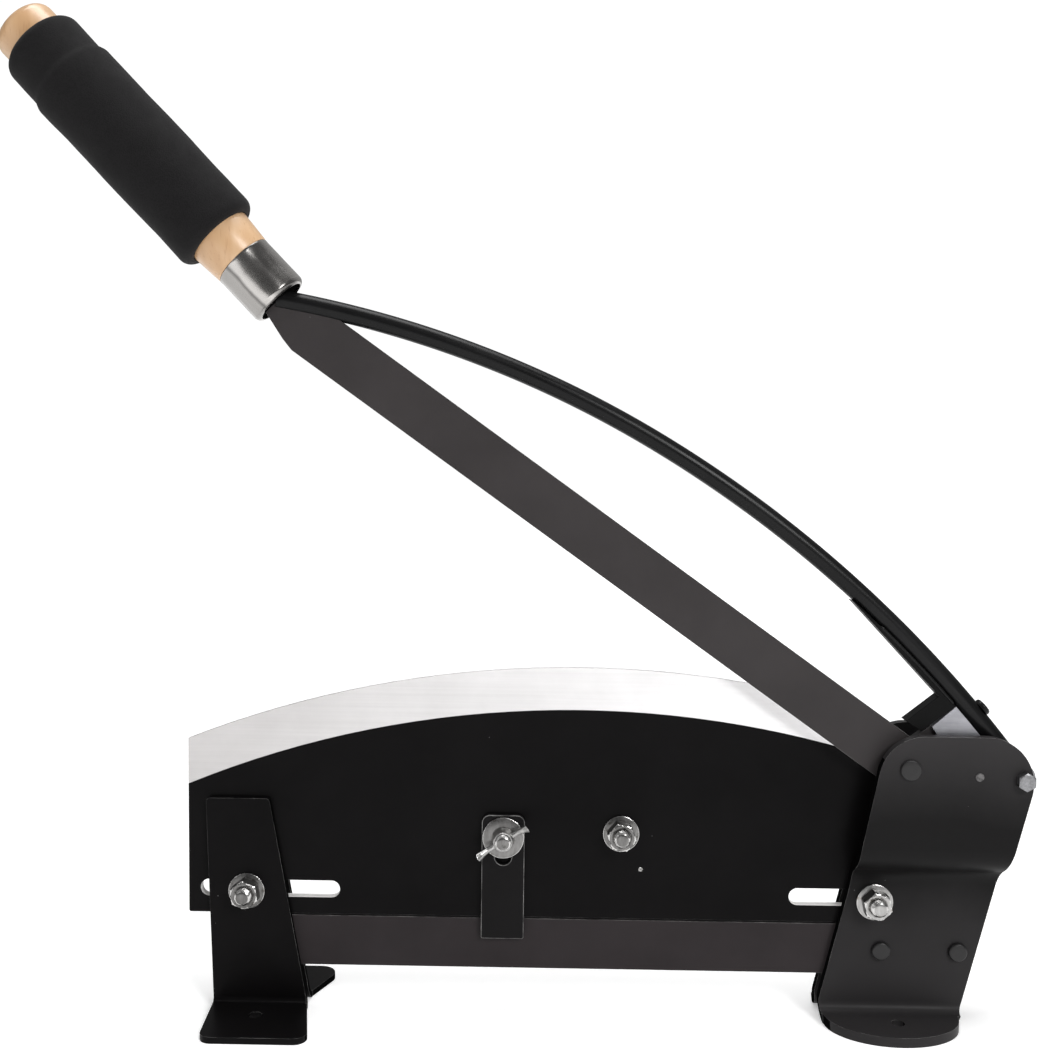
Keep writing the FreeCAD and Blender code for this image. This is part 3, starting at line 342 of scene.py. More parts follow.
# Tones of the bracket's paint at heights in metres: painted shade, light at the top, darkest around the joggle and
# lighter again low down.
BRACKET_SHADE_TONES = ((0.0, 0.027), (0.03, 0.025), (0.05, 0.020), (0.07, 0.006), (0.10, 0.006), (0.118, 0.015),
                 (0.15, 0.035))
MATERIALS = {
    "black_paint": paint("black_paint", (0.0034, 0.0031, 0.0033), (0.0056, 0.0051, 0.0054), gloss=0.05),
    "bracket_paint": paint_with_painted_shade("bracket_paint", BRACKET_SHADE_TONES, (0.34, 0.46), 0.1),
    "head_paint": paint("head_paint", (0.013, 0.0125, 0.0128), (0.020, 0.0192, 0.0196), (0.3, 0.4), 0.3),
    "scuffed": scuffed("scuffed"),
    "bar_paint": paint("bar_paint", (0.028, 0.0247, 0.025), (0.041, 0.0365, 0.037), (0.45, 0.55), 0.18),
    "strap_paint": paint("strap_paint", (0.0068, 0.0063, 0.0066), (0.0095, 0.0089, 0.0092), gloss=0.06),
    "spine_paint": paint("spine_paint", (0.021, 0.0172, 0.0182), (0.031, 0.0258, 0.0272), (0.45, 0.55), 0.12),
    "rod_paint": paint("rod_paint", (0.004, 0.004, 0.0042), (0.008, 0.008, 0.0083), (0.26, 0.36), 0.16),
    # Darker and rougher than the rod's black: painted shade for the knee gusset.
    "knee_paint": paint("knee_paint", (0.003, 0.003, 0.003), (0.005, 0.005, 0.005), (0.4, 0.5), 0.08),
    # Near-black painted shade, for cut sides and for the handle's nose inside the ferrule.
    "side_paint": paint("side_paint", (0.002, 0.002, 0.002), (0.004, 0.004, 0.004), (0.5, 0.6), 0.0),
    # Near-white slot walls: bare punched steel, and a painted highlight for the light seen through the slots.
    "punched_edge": metal("punched_edge", (0.80, 0.79, 0.78), (0.92, 0.91, 0.90), (0.6, 0.7),
                          (500.0, 60.0, 500.0), metallic=0.1),
    "zinc_face": metal("zinc_face", (0.10, 0.098, 0.095), (0.26, 0.255, 0.25), (0.26, 0.4),
                       (500.0, 500.0, 120.0), stain=(0.07, 0.066, 0.06)),
    "zinc_bright": metal("zinc_bright", (0.48, 0.475, 0.465), (0.78, 0.77, 0.76), (0.2, 0.32),
                         (500.0, 500.0, 120.0), stain=(0.3, 0.28, 0.26)),
    "zinc_side": metal("zinc_side", (0.035, 0.034, 0.033), (0.12, 0.118, 0.115), (0.3, 0.4),
                       (500.0, 60.0, 500.0), metallic=0.8),
    "worn_edge": worn_edge("worn_edge", (0.016, 0.016, 0.016), (0.24, 0.235, 0.23)),
    "blade_steel": blade("blade_steel"),
    "zinc_plate": metal("zinc_plate", (0.28, 0.275, 0.27), (0.50, 0.495, 0.485), (0.24, 0.38),
                        (500.0, 500.0, 120.0), stain=(0.26, 0.24, 0.21)),
    "bare_steel": metal("bare_steel", (0.08, 0.08, 0.083), (0.30, 0.30, 0.31), (0.3, 0.45),
                        (600.0, 60.0, 600.0), stain=(0.10, 0.095, 0.09)),
    "block_steel": metal("block_steel", (0.26, 0.26, 0.28), (0.41, 0.41, 0.44), (0.4, 0.5),
                         (60.0, 600.0, 500.0), metallic=0.7),
    "bronze": metal("bronze", (0.40, 0.26, 0.12), (0.55, 0.38, 0.18), (0.35, 0.5), (300.0, 300.0, 300.0)),
    "nickel": nickel_with_painted_reflections("nickel"),
    "beech": wood("beech"),
    "foam": foam("foam"),
}
PAINT_OF = {
    "bracket_near": "bracket_paint",
    "bracket_far": "bracket_paint",
    "bracket_rivets": "head_paint",
    "pivot_pin": "head_paint",
    "tie_pin": "scuffed",
    "spine_bar": "spine_paint",
    "clamp_strap": "strap_paint",
    "brace_screw": "rod_paint",
    "pivot_block": "block_steel",
}


def finish_of(node):
    """The material that a node's surface shows."""
    return MATERIALS[PAINT_OF.get(node, SLOTS[node] if SLOTS[node] in MATERIALS else "black_paint")]


# ---------------------------------------------------------------- mesh helpers

def register(name, mesh, node, *materials, replaced=()):
    """Make a piece from a mesh. It rides with node's body and shows in place of the replaced nodes."""
    piece = bpy.data.objects.new(name, mesh)
    scene.collection.objects.link(piece)
    for material in materials:
        mesh.materials.append(material)
    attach(piece, BODY_OF[node])
    if replaced:
        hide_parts(*replaced)
    return piece


def mesh_of(name, points, faces, sharp=40.0):
    mesh = bpy.data.meshes.new(name)
    mesh.from_pydata(points, [], faces)
    smoothed(mesh, sharp)
    return mesh


def smoothed(mesh, sharp):
    """Shade a mesh smooth, with hard edges where it turns by more than sharp degrees."""
    bm = bmesh.new()
    bm.from_mesh(mesh)
    bmesh.ops.recalc_face_normals(bm, faces=bm.faces)
    bm.to_mesh(mesh)
    bm.free()
    mesh.shade_smooth()
    mesh.set_sharp_from_angle(angle=math.radians(sharp))


def about_y(centre, y_from, side):
    """A placer for round parts about an axis along Y: height runs from y_from towards side."""
    def place(height, radius, angle):
        return Vector((centre[0] + radius * math.cos(angle), y_from + side * height,
                       centre[1] + radius * math.sin(angle)))
    return place


def about_handle(along, radius, angle):
    return on_handle(along, radius * math.cos(angle), radius * math.sin(angle))


def revolved(name, place, rings, steps=64, closed=False):
    """Join rings of (height, radius), where radius is a number or a function of the angle."""
    points = []
    for height, radius in rings:
        for i in range(steps):
            angle = 2 * math.pi * i / steps
            size = radius(angle) if callable(radius) else radius
            points.append(place(height, size, angle))
    faces = []
    count = len(rings)
    for r in range(count if closed else count - 1):
        a, b = r * steps, ((r + 1) % count) * steps
        for i in range(steps):
            j = (i + 1) % steps
            faces.append((a + i, a + j, b + j, b + i))
    if not closed:
        faces.append(tuple(range(steps)))
        faces.append(tuple(reversed(range((count - 1) * steps, count * steps))))
    return mesh_of(name, points, faces)


def arc(centre, radius, start, stop, steps=6):
    """Profile points on an arc, in degrees from along the axis (0) to outwards (90)."""
    made = []
    for i in range(steps + 1):
        angle = math.radians(start + (stop - start) * i / steps)
        made.append((centre[0] + radius * math.cos(angle), centre[1] + radius * math.sin(angle)))
    return made


def middle_of(node):
    low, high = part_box(node)
    return (low + high) / 2


def axis_of(node):
    """Where a round part's axis along Y meets the XZ plane."""
    middle = middle_of(node)
    return middle.x, middle.z


# ---------------------------------------------------------------- plates and bars with eased edges

def paint_shade_on_sides(bm, index):
    """Give a plate's cut sides and undersides the near-black painted-shade material; faces that look up keep
    theirs.
    """
    for face in bm.faces:
        if face.material_index == 0 and abs(face.normal.y) < 0.4 and face.normal.z < 0.5:
            face.material_index = index


def highlight_slot_walls(bm, index):
    """Give the walls of the base plate's slots and of its pilot hole the near-white material: bare punched steel
    with a painted highlight for the light seen through the slots.
    """
    low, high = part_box("base_plate")
    slot_z = middle_of("bracket_bolt").z
    hole_x, hole_z = PILOT_HOLE
    for face in bm.faces:
        at = face.calc_center_median()
        slot = abs(at.z - slot_z) < 6 * MM and low.x + 1 * MM < at.x < high.x - 1 * MM
        hole = math.hypot(at.x - hole_x, at.z - hole_z) < 2 * MM
        if (slot or hole) and abs(face.normal.y) < 0.4:
            face.material_index = index


def eased(node, width, painted=True):
    """A plate or bar with its edges rounded, in place of its CAD node. Painted ones have worn edges that also
    carry a painted highlight, and cut sides in painted shade; the base plate's slot walls get a painted highlight.
    """
    mesh = frame["nodes"][node].data.copy()
    mesh.name = node + "_eased"
    mesh.materials.clear()
    bm = bmesh.new()
    bm.from_mesh(mesh)
    bmesh.ops.remove_doubles(bm, verts=bm.verts, dist=0.002 * MM)
    bmesh.ops.dissolve_limit(bm, angle_limit=math.radians(0.6), verts=bm.verts, edges=bm.edges)
    bm.normal_update()
    rims = [e for e in bm.edges if len(e.link_faces) == 2 and e.calc_face_angle(0) > math.radians(35)]
    for face in bm.faces:
        face.material_index = 0
    bmesh.ops.bevel(bm, geom=rims, offset=width, offset_type="OFFSET", segments=2, profile=0.5,
                    affect="EDGES", clamp_overlap=True, material=1 if painted else -1)
    bm.normal_update()
    materials = [finish_of(node)]
    if painted:
        materials += [MATERIALS["worn_edge"], MATERIALS["side_paint"]]
        paint_shade_on_sides(bm, 2)
    if node == "base_plate":
        materials.append(MATERIALS["punched_edge"])
        highlight_slot_walls(bm, 3)
    bm.to_mesh(mesh)
    bm.free()
    if "custom_normal" in mesh.attributes:
        mesh.attributes.remove(mesh.attributes["custom_normal"])
    mesh.shade_smooth()
    mesh.set_sharp_from_angle(angle=math.radians(50))
    piece = register(node + "_part", mesh, node, *materials, replaced=(node,))
    weighted = piece.modifiers.new("flat_faces", "WEIGHTED_NORMAL")
    weighted.keep_sharp = True


PAINTED_PLATES = ("base_plate", "spine_bar", "clamp_strap", "bracket_near", "bracket_far",
                  "leg_near", "leg_far")
BARE_PLATES = (("knee_gusset", 0.25), ("pivot_block", 0.15), ("upper_blade", 0.08), ("lower_blade", 0.08))


def make_plates():
    for node in PAINTED_PLATES:
        eased(node, 0.35 * MM)
    eased("arm_bar", 0.45 * MM)
    for node, width in BARE_PLATES:
        eased(node, width * MM, painted=False)


# ---------------------------------------------------------------- fasteners

def hex_radius(across, cap, turn):
    """Distance from a hexagon's axis to its side, held inside a cone of radius cap."""
    def radius(angle):
        part = (angle - turn) % (math.pi / 3) - math.pi / 6
        return min(across / 2 / math.cos(part), cap)
    return radius


def hex_rings(across, height, turn, both_ends=True):
    """Rings of a hexagon whose corners are chamfered by a cone at its ends."""
    corner = across / math.sqrt(3)
    ease = (corner - across / 2) * 0.58
    flat = across / 2 * 0.97
    turn += math.pi / 6
    mid = (flat + corner) / 2
    levels = [(0.0, flat), (ease / 2, mid), (ease, corner)] if both_ends else [(0.0, corner)]
    levels += [(height - ease, corner), (height - ease / 2, mid), (height, flat)]
    return [(place, hex_radius(across, cap, turn)) for place, cap in levels]


def zinc_on(node):
    """Materials for chamfers, for sides and for flat faces: a painted highlight on the chamfers, painted shade on
    the sides. The bracket's set is the brightest.
    """
    flat = "zinc_plate" if node.startswith("bracket") else "zinc_face"
    return [MATERIALS[name] for name in ("zinc_bright", "zinc_side", flat)]


def sort_faces(mesh):
    """Put the sides of a nut, bolt or washer in the second material and its flat faces in the third."""
    for face in mesh.polygons:
        if abs(face.normal.y) < 0.35:
            face.material_index = 1
        elif abs(face.normal.y) > 0.9:
            face.material_index = 2


def make_nut(node, turn_degrees, material="zinc_plate", across=NUT_AF, bore=BOLT_R, side=-1):
    """A chamfered hexagon nut whose finished face looks towards side along Y."""
    low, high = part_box(node)
    start = high.y if side < 0 else low.y
    height = high.y - low.y
    rings = hex_rings(across, height, math.radians(turn_degrees))
    sink = 0.5 * MM
    rings += [(height, bore + sink), (height - sink, bore * 0.96), (sink, bore * 0.96), (0.0, bore + sink)]
    mesh = revolved(node + "_hex", about_y(axis_of(node), start, side), rings, 96, closed=True)
    sort_faces(mesh)
    materials = zinc_on(node) if material == "zinc_plate" else [MATERIALS[material]] * 3
    register(node + "_hex", mesh, node, *materials, replaced=(node,))


def washer_mesh(node, suffix, y0, y1, outer):
    """One stamped washer, with a rounded rim on its punched side."""
    ease = 0.25 * MM
    inner = BOLT_R + 0.15 * MM
    tall = y1 - y0
    rings = [(0, inner + ease), (0, outer - ease), (ease / 2, outer - ease / 4), (tall - ease, outer)]
    rings += [(tall, outer - ease), (tall, inner + ease / 2), (tall - ease, inner), (ease, inner)]
    mesh = revolved(node + suffix, about_y(axis_of(node), y0, 1), rings, 72, closed=True)
    sort_faces(mesh)
    return mesh


def make_washers():
    """The pairs under the clamped bolts, and the single washers under the blade nut and the wing nut."""
    # Washers take the painted-highlight zinc on their sides as well as on their chamfers.
    thickness = 1.6 * MM
    for node in ("bracket_washers", "leg_washers"):
        low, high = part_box(node)
        bright, _, flat = zinc_on(node)
        near = washer_mesh(node, "_near", low.y, low.y + thickness, WASHER_R)
        far = washer_mesh(node, "_far", high.y - thickness, high.y, WASHER_R)
        register(node + "_near", near, node, bright, bright, flat, replaced=(node,))
        register(node + "_far", far, node, bright, bright, flat)
    for node, outer in (("blade_washer", WASHER_R), ("clamp_washer", CLAMP_WASHER_R)):
        low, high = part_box(node)
        bright, _, flat = zinc_on(node)
        mesh = washer_mesh(node, "_ring", low.y, high.y, outer)
        register(node + "_ring", mesh, node, bright, bright, flat, replaced=(node,))


def thread_radius(y, angle, radius):
    """A bolt's radius on a right-handed thread."""
    phase = (y / THREAD_PITCH + angle / (2 * math.pi)) % 1.0
    ridge = 1.0 - abs(2.0 * phase - 1.0)
    return radius - THREAD_DEPTH * (1.0 - min(1.0, max(0.0, 1.35 * ridge - 0.15)))


def threaded_mesh(node, y_tip, thread_length, y_end):
    """A shaft along +Y from y_tip: a flat chamfered point, a thread, then a plain shank."""
    radius = BOLT_R
    chamfer = 0.9 * MM
    rings = [(0.0, 0.35 * radius), (0.0, radius - chamfer)]
    per_turn = 10
    count = int(thread_length / THREAD_PITCH * per_turn)
    for i in range(1, count + 1):
        height = i * THREAD_PITCH / per_turn
        limit = radius - chamfer + height * 1.2

        def ring(angle, height=height, limit=limit):
            return min(limit, thread_radius(height, angle, radius))
        rings.append((height, ring))
    rings.append((count * THREAD_PITCH / per_turn + 0.3 * MM, radius))
    rings.append((y_end - y_tip, radius))
    return revolved(node, about_y(axis_of(node), y_tip, 1), rings, 56)


def joined(name, meshes, sharp=40.0):
    """One mesh from several that touch."""
    bm = bmesh.new()
    for mesh in meshes:
        bm.from_mesh(mesh)
    made = bpy.data.meshes.new(name)
    bm.to_mesh(made)
    bm.free()
    made.shade_smooth()
    made.set_sharp_from_angle(angle=math.radians(sharp))
    return made


def register_bolt(node, shaft, head):
    mesh = joined(node + "_threaded", [shaft, head])
    sort_faces(mesh)
    register(node + "_threaded", mesh, node, *zinc_on(node), replaced=(node,))


def make_hex_bolt(node, thread_length):
    low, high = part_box(node)
    head = 5.3 * MM
    under = high.y - head
    shaft = threaded_mesh(node, low.y, thread_length, under + 0.1 * MM)
    rings = hex_rings(NUT_AF, head, 0.0, both_ends=False)
    register_bolt(node, shaft, revolved(node + "_head", about_y(axis_of(node), under, 1), rings, 96))


def make_carriage_bolt(node, thread_length):
    low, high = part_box(node)
    head = 3.0 * MM
    under = high.y - head
    outer = 8.5 * MM
    shaft = threaded_mesh(node, low.y, thread_length, under + 0.1 * MM)
    ball = (outer ** 2 + head ** 2) / (2 * head)
    rings = [(0.0, outer - 0.2 * MM), (0.25 * MM, outer)]
    for i in range(1, 9):
        r = outer * (1 - i / 8.5)
        rings.append((math.sqrt(ball ** 2 - r ** 2) - ball + head, r))
    register_bolt(node, shaft, revolved(node + "_dome", about_y(axis_of(node), under, 1), rings, 72))


def cast(name, mesh):
    """Blend the bodies of a mesh into one, with soft corners as a casting has."""
    shape = bpy.data.objects.new(name, mesh)
    scene.collection.objects.link(shape)
    remesh = shape.modifiers.new("cast", "REMESH")
    remesh.mode = "VOXEL"
    remesh.voxel_size = 0.28 * MM
    smooth = shape.modifiers.new("blend", "SMOOTH")
    smooth.factor = 0.5
    smooth.iterations = 6
    bpy.context.view_layer.update()
    made = bpy.data.meshes.new_from_object(shape.evaluated_get(bpy.context.evaluated_depsgraph_get()))
    bpy.data.objects.remove(shape)
    return made


# Wing nut, in millimetres. Hub rings are (height, radius). Wing sections are (out, up, tall, thick).
WING_HUB = ((0.2, 5.5), (0.6, 5.8), (3.0, 5.2), (6.3, 4.9), (6.8, 4.6), (6.8, 3.9), (0.2, 3.9))
WING_SECTIONS = ((4.4, 3.6, 2.6, 1.7), (8.0, 4.1, 2.2, 1.35), (11.4, 5.7, 2.4, 1.55), (14.0, 7.6, 2.9, 2.2))
WING_TILT = math.radians(32.0)


def add_wing(bm, side, around=16):
    rows = []
    for out, up, tall, thick in WING_SECTIONS:
        row = []
        for i in range(around):
            angle = 2 * math.pi * i / around
            x = side * (out + 0.25 * tall * math.cos(angle))
            y = -(up + 0.5 * tall * 1.25 * math.cos(angle))
            row.append(bm.verts.new((x * MM, y * MM, thick * math.sin(angle) * MM)))
        rows.append(row)
    for first, second in zip(rows, rows[1:]):
        for i in range(around):
            j = (i + 1) % around
            bm.faces.new((first[i], first[j], second[j], second[i]))
    bm.faces.new(rows[0])
    bm.faces.new(tuple(reversed(rows[-1])))


def make_wing_nut():
    """A die-cast wing nut: a waisted hub and two wings with thick rolled tips, all blended together."""
    node = "wing_nut"
    x, z = axis_of(node)
    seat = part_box(node)[1].y
    rings = [(height * MM, radius * MM) for height, radius in WING_HUB]
    hub = revolved("wing_hub", about_y((0, 0), 0, -1), rings, 48, closed=True)
    bm = bmesh.new()
    bm.from_mesh(hub)
    for side in (1, -1):
        add_wing(bm, side)
    bmesh.ops.recalc_face_normals(bm, faces=bm.faces)
    bm.to_mesh(hub)
    bm.free()
    mesh = cast("wing_shape", hub)
    mesh.transform(Matrix.Translation((x, seat, z)) @ Matrix.Rotation(-WING_TILT, 4, "Y"))
    mesh.shade_smooth()
    register("wing_nut_cast", mesh, node, MATERIALS["zinc_plate"], replaced=(node,))


def button(name, centre, seat, side, radius, height):
    """A low headed button with a rounded rim and a slightly crowned face."""
    ease = height * 0.45
    rings = [(-0.3 * MM, radius), (height - ease, radius)]
    rings += arc((height - ease, radius - ease), ease, 78, 12, 6)
    rings += [(height - 0.02 * MM, radius * 0.45)]
    return revolved(name, about_y(centre, seat, side), rings, 64)


def make_buttons(node, spots, radius, height):
    """Headed ends on both sides of the frame, joined by a shaft, at one spot or at two."""
    low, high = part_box(node)
    middle_x, middle_z = axis_of(node)
    rows = []
    for x in [middle_x] if spots == 1 else [low.x + radius, high.x - radius]:
        for seat, side in ((low.y + height, -1), (high.y - height, 1)):
            rows.append(button(node, (x, middle_z), seat, side, radius, height * 0.98))
        span = high.y - low.y - 2 * height
        rings = [(0.0, radius * 0.75), (span, radius * 0.75)]
        rows.append(revolved(node, about_y((x, middle_z), low.y + height, 1), rings, 32))
    register(node + "_buttons", joined(node, rows, 50.0), node, finish_of(node), replaced=(node,))


def make_fasteners():
    make_buttons("pivot_pin", 1, 5.0 * MM, 1.5 * MM)
    make_buttons("bracket_rivets", 2, 4.6 * MM, 2.2 * MM)
    for node, turn in (("bracket_nut", 12), ("leg_nut", 8), ("blade_nut", 20)):
        make_nut(node, turn)
    make_nut("stop_nut", 0, "bare_steel", 8.0 * MM, 2.5 * MM, 1)
    make_washers()
    for node in ("bracket_bolt", "leg_bolt"):
        make_hex_bolt(node, 18.0 * MM)
    for node in ("blade_bolt", "clamp_bolt"):
        make_carriage_bolt(node, 16.0 * MM)
    make_wing_nut()


# ---------------------------------------------------------------- handle

def make_foam_grip():
    """The foam sleeve: rounded ends, a pinched stretch near the top and a slightly uneven skin."""
    start, end = 42.2 * MM, 166.5 * MM
    full, thin = 21.8 * MM, 20.4 * MM
    step, slope = 25.0 * MM, 5.0 * MM
    bore = 15.6 * MM
    ease = 4.6 * MM
    rings = [(start + 3.2 * MM, bore), (start, bore + 0.9 * MM)]
    rings += arc((start + ease, full - ease), ease, 180, 90, 8)
    runs = 44
    for i in range(1, runs):
        along = start + ease + (end - step - start - ease) * i / runs
        rings.append((along, full))
    for i in range(9):
        share = i / 8
        blend = share * share * (3 - 2 * share)
        rings.append((end - step + share * slope, full + (thin - full) * blend))
    for i in range(1, 6):
        rings.append((end - step + slope + (step - slope - ease) * i / 6, thin))
    rings += arc((end - ease, thin - ease), ease, 90, 0, 8)
    rings += [(end, bore)]

    def place(along, radius, angle):
        point = about_handle(along, radius, angle)
        if radius < bore + 1.5 * MM:
            return point
        sag = noise.noise(point * 38.0) * 0.35 * MM + noise.noise(point * 160.0) * 0.10 * MM
        return about_handle(along, radius - 0.22 * MM + min(sag, 0.2 * MM), angle)

    mesh = revolved("foam_sleeve", place, rings, 120, closed=True)
    register("foam_sleeve", mesh, "foam_grip", MATERIALS["foam"], replaced=("foam_grip",))


def make_wood():
    """The turned handle: a nose inside the ferrule, a bare neck, and a rounded end with a flat crown."""
    crown = 5.0 * MM
    end, radius = 179.2 * MM, 15.5 * MM
    rings = [(1.0 * MM, 11.4 * MM), (3.3 * MM, 13.8 * MM), (26.4 * MM, 13.8 * MM), (26.6 * MM, 14.6 * MM)]
    rings += [(27.4 * MM, 14.85 * MM), (34.0 * MM, 15.4 * MM), (42.0 * MM, 16.05 * MM), (45.0 * MM, radius)]
    rings += [(100.0 * MM, radius), (165.0 * MM, radius)]
    rings += arc((end - crown, radius - crown), crown, 90, 12, 8)
    rings += [(end - 0.12 * MM, radius - crown - 1.5 * MM), (end, radius - crown - 5.0 * MM)]
    mesh = revolved("turned_wood", about_handle, rings, 96)
    # The nose faces inside the ferrule take the near-black painted shade of the ferrule's mouth.
    mouth = on_handle(0, 0, 0)
    ahead = on_handle(1, 0, 0) - mouth
    for face in mesh.polygons:
        if (face.center - mouth).dot(ahead) < 20 * MM:
            face.material_index = 1
    register("turned_wood", mesh, "handle_core", MATERIALS["beech"], MATERIALS["side_paint"],
             replaced=("handle_core",))


def make_ferrule():
    """A spun steel ferrule: a rolled mouth, a plain barrel with a shallow crimp, and a curled back edge."""
    outer, mouth, wall = 14.7 * MM, 12.2 * MM, 0.8 * MM
    back = 26.5 * MM
    roll = outer - mouth
    lip = 0.35 * MM
    rings = arc((roll, mouth), roll, 180, 90, 12)
    rings += [(7.0 * MM, outer), (12.0 * MM, outer - 0.05 * MM), (18.0 * MM, outer - 0.02 * MM)]
    rings += [(back - 1.6 * MM, outer - 0.1 * MM), (back - 1.1 * MM, outer)]
    rings += arc((back - lip, outer - lip), lip, 90, 0, 4)
    rings += [(back, outer - wall), (8.0 * MM, outer - wall)]
    rings += arc((roll, mouth), roll - wall, 90, 180, 8)

    def place(along, radius, angle):
        dimple = 0.0
        for spot in (math.radians(235.0), math.radians(55.0)):
            away = math.hypot((along - 7.5 * MM) / (1.4 * MM), (angle - spot) * radius / (1.4 * MM))
            if radius > outer - 0.4 * MM and away < 2.5:
                dimple += 0.35 * MM * math.exp(-away * away)
        return about_handle(along, radius - dimple, angle)

    mesh = revolved("spun_ferrule", place, rings, 144, closed=True)
    register("spun_ferrule", mesh, "ferrule", MATERIALS["nickel"], replaced=("ferrule",))


# ---------------------------------------------------------------- brace rod and welds

BRACE_C = Vector((-136.4 * MM, 0, -562.9 * MM))
BRACE_R = 620.9 * MM
BRACE_LEFT_R = 540.3 * MM
ROD_R = 4.7 * MM
BRACE_UNDER = BRACE_R - ROD_R - 0.1 * MM
BRACE_JOIN_X = -190.0 * MM
BRACE_JOIN = Vector((BRACE_JOIN_X, 0, BRACE_C.z + math.sqrt(BRACE_R ** 2 - (BRACE_JOIN_X - BRACE_C.x) ** 2)))
ROD_FROM, ROD_TO = -379.5 * MM, 41.0 * MM


def weld(name, path, radius, material="rod_paint"):
    """A painted weld bead along points of the arm, with the ripples of a run laid by hand."""
    ripples = 1.7 * MM
    points, faces = [], []
    steps = 10
    length = 0.0
    rows = []
    for i, point in enumerate(path):
        ahead = path[min(i + 1, len(path) - 1)] - path[max(i - 1, 0)]
        ahead.normalize()
        if i:
            length += (point - path[i - 1]).length
        side = ahead.cross(Vector((0, 1, 0))).normalized()
        up = side.cross(ahead)
        taper = min(1.0, (i + 0.6) / 3, (len(path) - i - 0.4) / 3)
        swell = radius * taper * (0.86 + 0.14 * math.sin(2 * math.pi * length / ripples) ** 2)
        swell += noise.noise(point * 400.0) * radius * 0.12
        rows.append(len(points))
        for k in range(steps):
            angle = 2 * math.pi * k / steps
            points.append(point + (side * math.cos(angle) + up * math.sin(angle)) * swell)
    for a, b in zip(rows, rows[1:]):
        for k in range(steps):
            j = (k + 1) % steps
            faces.append((a + k, a + j, b + j, b + k))
    faces.append(tuple(range(steps)))
    faces.append(tuple(reversed(range(rows[-1], rows[-1] + steps))))
    mesh = mesh_of(name, points, faces, 60)
    register(name, mesh, "brace_rod", MATERIALS[material])


def brace_arc(y, x_from, x_to, radius):
    """Points under the brace rod, at one y, spaced about half a millimetre apart."""
    count = int(abs(x_to - x_from) / (0.55 * MM))
    made = []
    for i in range(count + 1):
        x = x_from + (x_to - x_from) * i / count
        z = BRACE_C.z + math.sqrt(radius ** 2 - (x - BRACE_C.x) ** 2)
        made.append(level(x, y, z))
    return made


def make_rod():
    """The brace rod: one bent round bar, from the ferrule over the arm and down to its screw."""
    left = BRACE_C + (BRACE_JOIN - BRACE_C).normalized() * (BRACE_R - BRACE_LEFT_R)
    middles = []
    steps = 150
    for i in range(steps + 1):
        x = ROD_FROM + (ROD_TO - ROD_FROM) * i / steps
        centre, radius = (left, BRACE_LEFT_R) if x < BRACE_JOIN_X else (BRACE_C, BRACE_R)
        z = centre.z + math.sqrt(radius ** 2 - (x - centre.x) ** 2)
        middles.append((x, z, math.atan2(z - centre.z, x - centre.x)))
    rings = [(middles[0], 0.75)] + [(spot, 1.0) for spot in middles] + [(middles[-1], 0.75)]
    points, faces = [], []
    around = 32
    for (x, z, tilt), share in rings:
        for k in range(around):
            angle = 2 * math.pi * k / around
            out = ROD_R * share * math.cos(angle)
            across = ROD_R * share * math.sin(angle)
            points.append(level(x + out * math.cos(tilt), ARM_MID_Y + across, z + out * math.sin(tilt)))
    for r in range(len(rings) - 1):
        for k in range(around):
            j = (k + 1) % around
            faces.append((r * around + k, r * around + j, (r + 1) * around + j, (r + 1) * around + k))
    faces.append(tuple(range(around)))
    faces.append(tuple(reversed(range(len(points) - around, len(points)))))
    mesh = mesh_of("bent_rod", points, faces)
    register("bent_rod", mesh, "brace_rod", MATERIALS["rod_paint"], replaced=("brace_rod",))


def make_welds():
    """Beads along both sides of the knee, and one behind the arm's neck."""
    knee_low, knee_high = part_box("knee_gusset")
    inset = 0.3 * MM
    weld("weld_knee_near", brace_arc(knee_low.y + inset, -52 * MM, 0 * MM, BRACE_UNDER), 0.9 * MM)
    weld("weld_knee_far", brace_arc(knee_high.y - inset, -62 * MM, 20 * MM, BRACE_UNDER), 0.9 * MM)
    neck_y = ARM_MID_Y + 2.3 * MM
    neck = [level((-372.0 + 0.5 * i) * MM, neck_y, (4.4 + 0.26 * i) * MM) for i in range(28)]
    weld("weld_neck_far", neck, 0.8 * MM, "bar_paint")


# ---------------------------------------------------------------- other CAD nodes

def dress_cad_nodes():
    """Give each CAD node that still shows its own material."""
    for node, shown in frame["nodes"].items():
        if shown.hide_render:
            continue
        shown.data.materials.clear()
        shown.data.materials.append(finish_of(node))


# ---------------------------------------------------------------- camera, floor and light

CAMERA_AT = (-0.02344, -0.6084, 0.2857)
CAMERA_RIGHT = Vector((0.99984, 0.01287, 0.01214))
CAMERA_UP = Vector((-0.01300, 0.06918, 0.99752))
CAMERA_AHEAD = Vector((-0.01200, 0.99752, -0.06934))
LENS = 42.39
SENSOR_WIDTH = 36.0


def make_camera():
    data = bpy.data.cameras.new("camera")
    data.lens = LENS
    data.sensor_width = SENSOR_WIDTH
    data.clip_start = 0.01
    camera = bpy.data.objects.new("camera", data)
    turn = Matrix((CAMERA_RIGHT, CAMERA_UP, -CAMERA_AHEAD)).transposed().to_4x4()
    camera.matrix_world = Matrix.Translation(CAMERA_AT) @ turn
    scene.collection.objects.link(camera)
    scene.camera = camera


def make_floor():
    bpy.ops.mesh.primitive_grid_add(x_subdivisions=4, y_subdivisions=4, size=9.0, location=(0, 0, 0))
    floor = bpy.context.object
    floor.name = "paper_floor"
    floor.data.materials.append(floor_paper("paper_floor"))


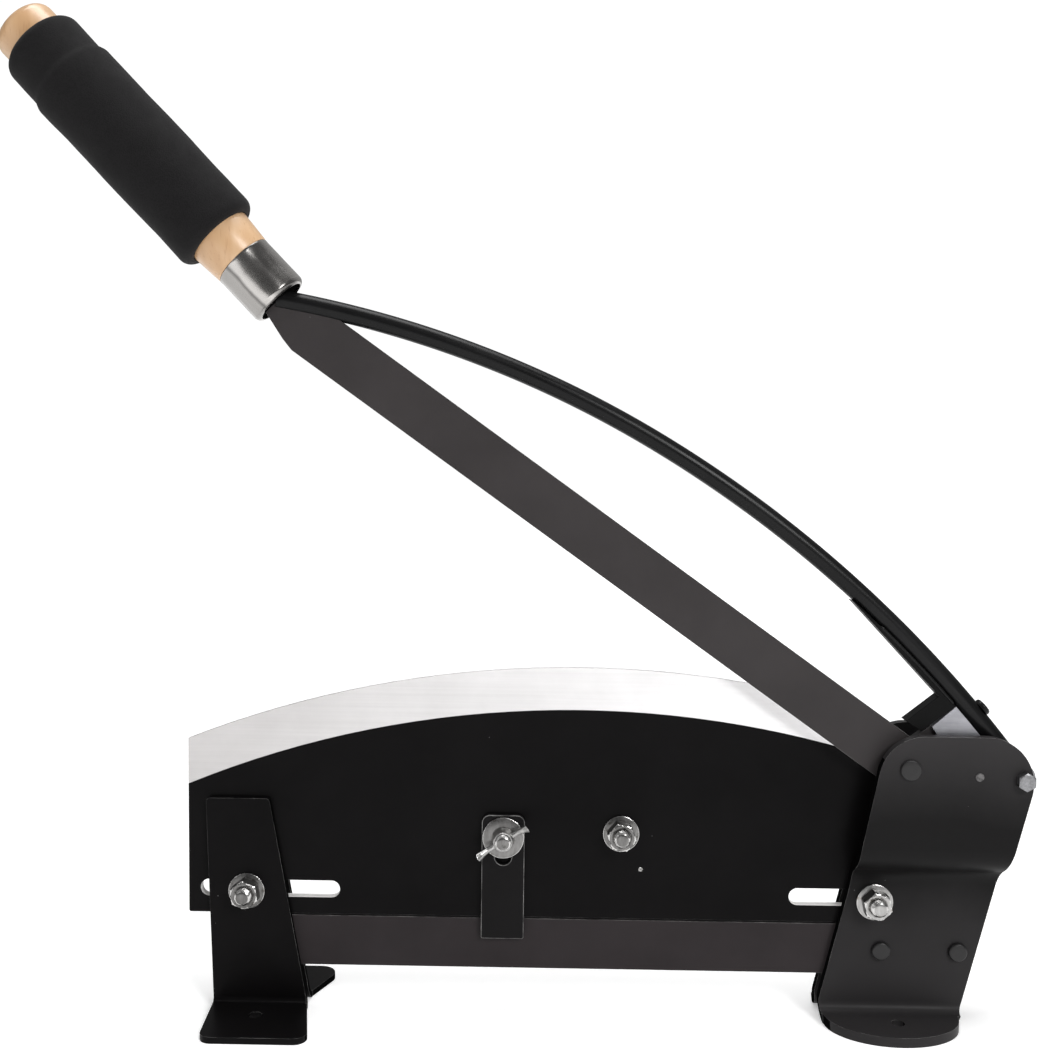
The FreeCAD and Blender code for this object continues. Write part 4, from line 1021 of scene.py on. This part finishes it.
def area_light(name, place, target, size, power):
    data = bpy.data.lights.new(name, "AREA")
    data.shape = "RECTANGLE"
    data.size, data.size_y = size
    data.energy = power
    lamp = bpy.data.objects.new(name, data)
    lamp.location = place
    lamp.rotation_euler = (Vector(target) - Vector(place)).to_track_quat("-Z", "Y").to_euler()
    scene.collection.objects.link(lamp)


def make_world():
    """White to the camera. As light it is bright overhead and behind, and dark at the user's side."""
    world = bpy.data.worlds.new("studio")
    world.use_nodes = True
    scene.world = world
    tree = world.node_tree
    tree.nodes.clear()
    new = tree.nodes.new
    join = tree.links.new
    coords = new("ShaderNodeTexCoord")
    split = new("ShaderNodeSeparateXYZ")
    join(coords.outputs["Generated"], split.inputs["Vector"])
    shares = []
    for axis, numbers in (("Z", (0.0, 0.9, 0.0, 0.18)), ("Y", (-0.5, 0.9, 0.03, 0.38))):
        share = new("ShaderNodeMapRange")
        join(split.outputs[axis], share.inputs["Value"])
        for name, number in zip(("From Min", "From Max", "To Min", "To Max"), numbers):
            share.inputs[name].default_value = number
        shares.append(share.outputs["Result"])
    total = new("ShaderNodeMath")
    join(shares[0], total.inputs[0])
    join(shares[1], total.inputs[1])
    light = new("ShaderNodeBackground")
    join(total.outputs["Value"], light.inputs["Strength"])
    white = new("ShaderNodeBackground")
    white.inputs["Color"].default_value = (1, 1, 1, 1)
    white.inputs["Strength"].default_value = 1.05
    rays = new("ShaderNodeLightPath")
    mix = new("ShaderNodeMixShader")
    join(rays.outputs["Is Camera Ray"], mix.inputs["Fac"])
    join(light.outputs["Background"], mix.inputs[1])
    join(white.outputs["Background"], mix.inputs[2])
    join(mix.outputs["Shader"], new("ShaderNodeOutputWorld").inputs["Surface"])


def make_studio():
    make_floor()
    make_world()
    area_light("top_box", (0.0, 0.0, 1.7), (0, 0, 0.15), (1.0, 0.8), 18.0)
    area_light("left_box", (-1.3, -0.9, 0.8), (0, 0, 0.35), (0.3, 0.8), 1.5)
    area_light("right_box", (0.9, -1.3, 1.1), (0.1, 0, 0.2), (0.6, 0.6), 18.0)
    scene.view_settings.view_transform = "Standard"
    scene.view_settings.look = "None"


make_camera()
make_studio()
make_plates()
make_fasteners()
make_foam_grip()
make_wood()
make_ferrule()
make_rod()
make_welds()
dress_cad_nodes()
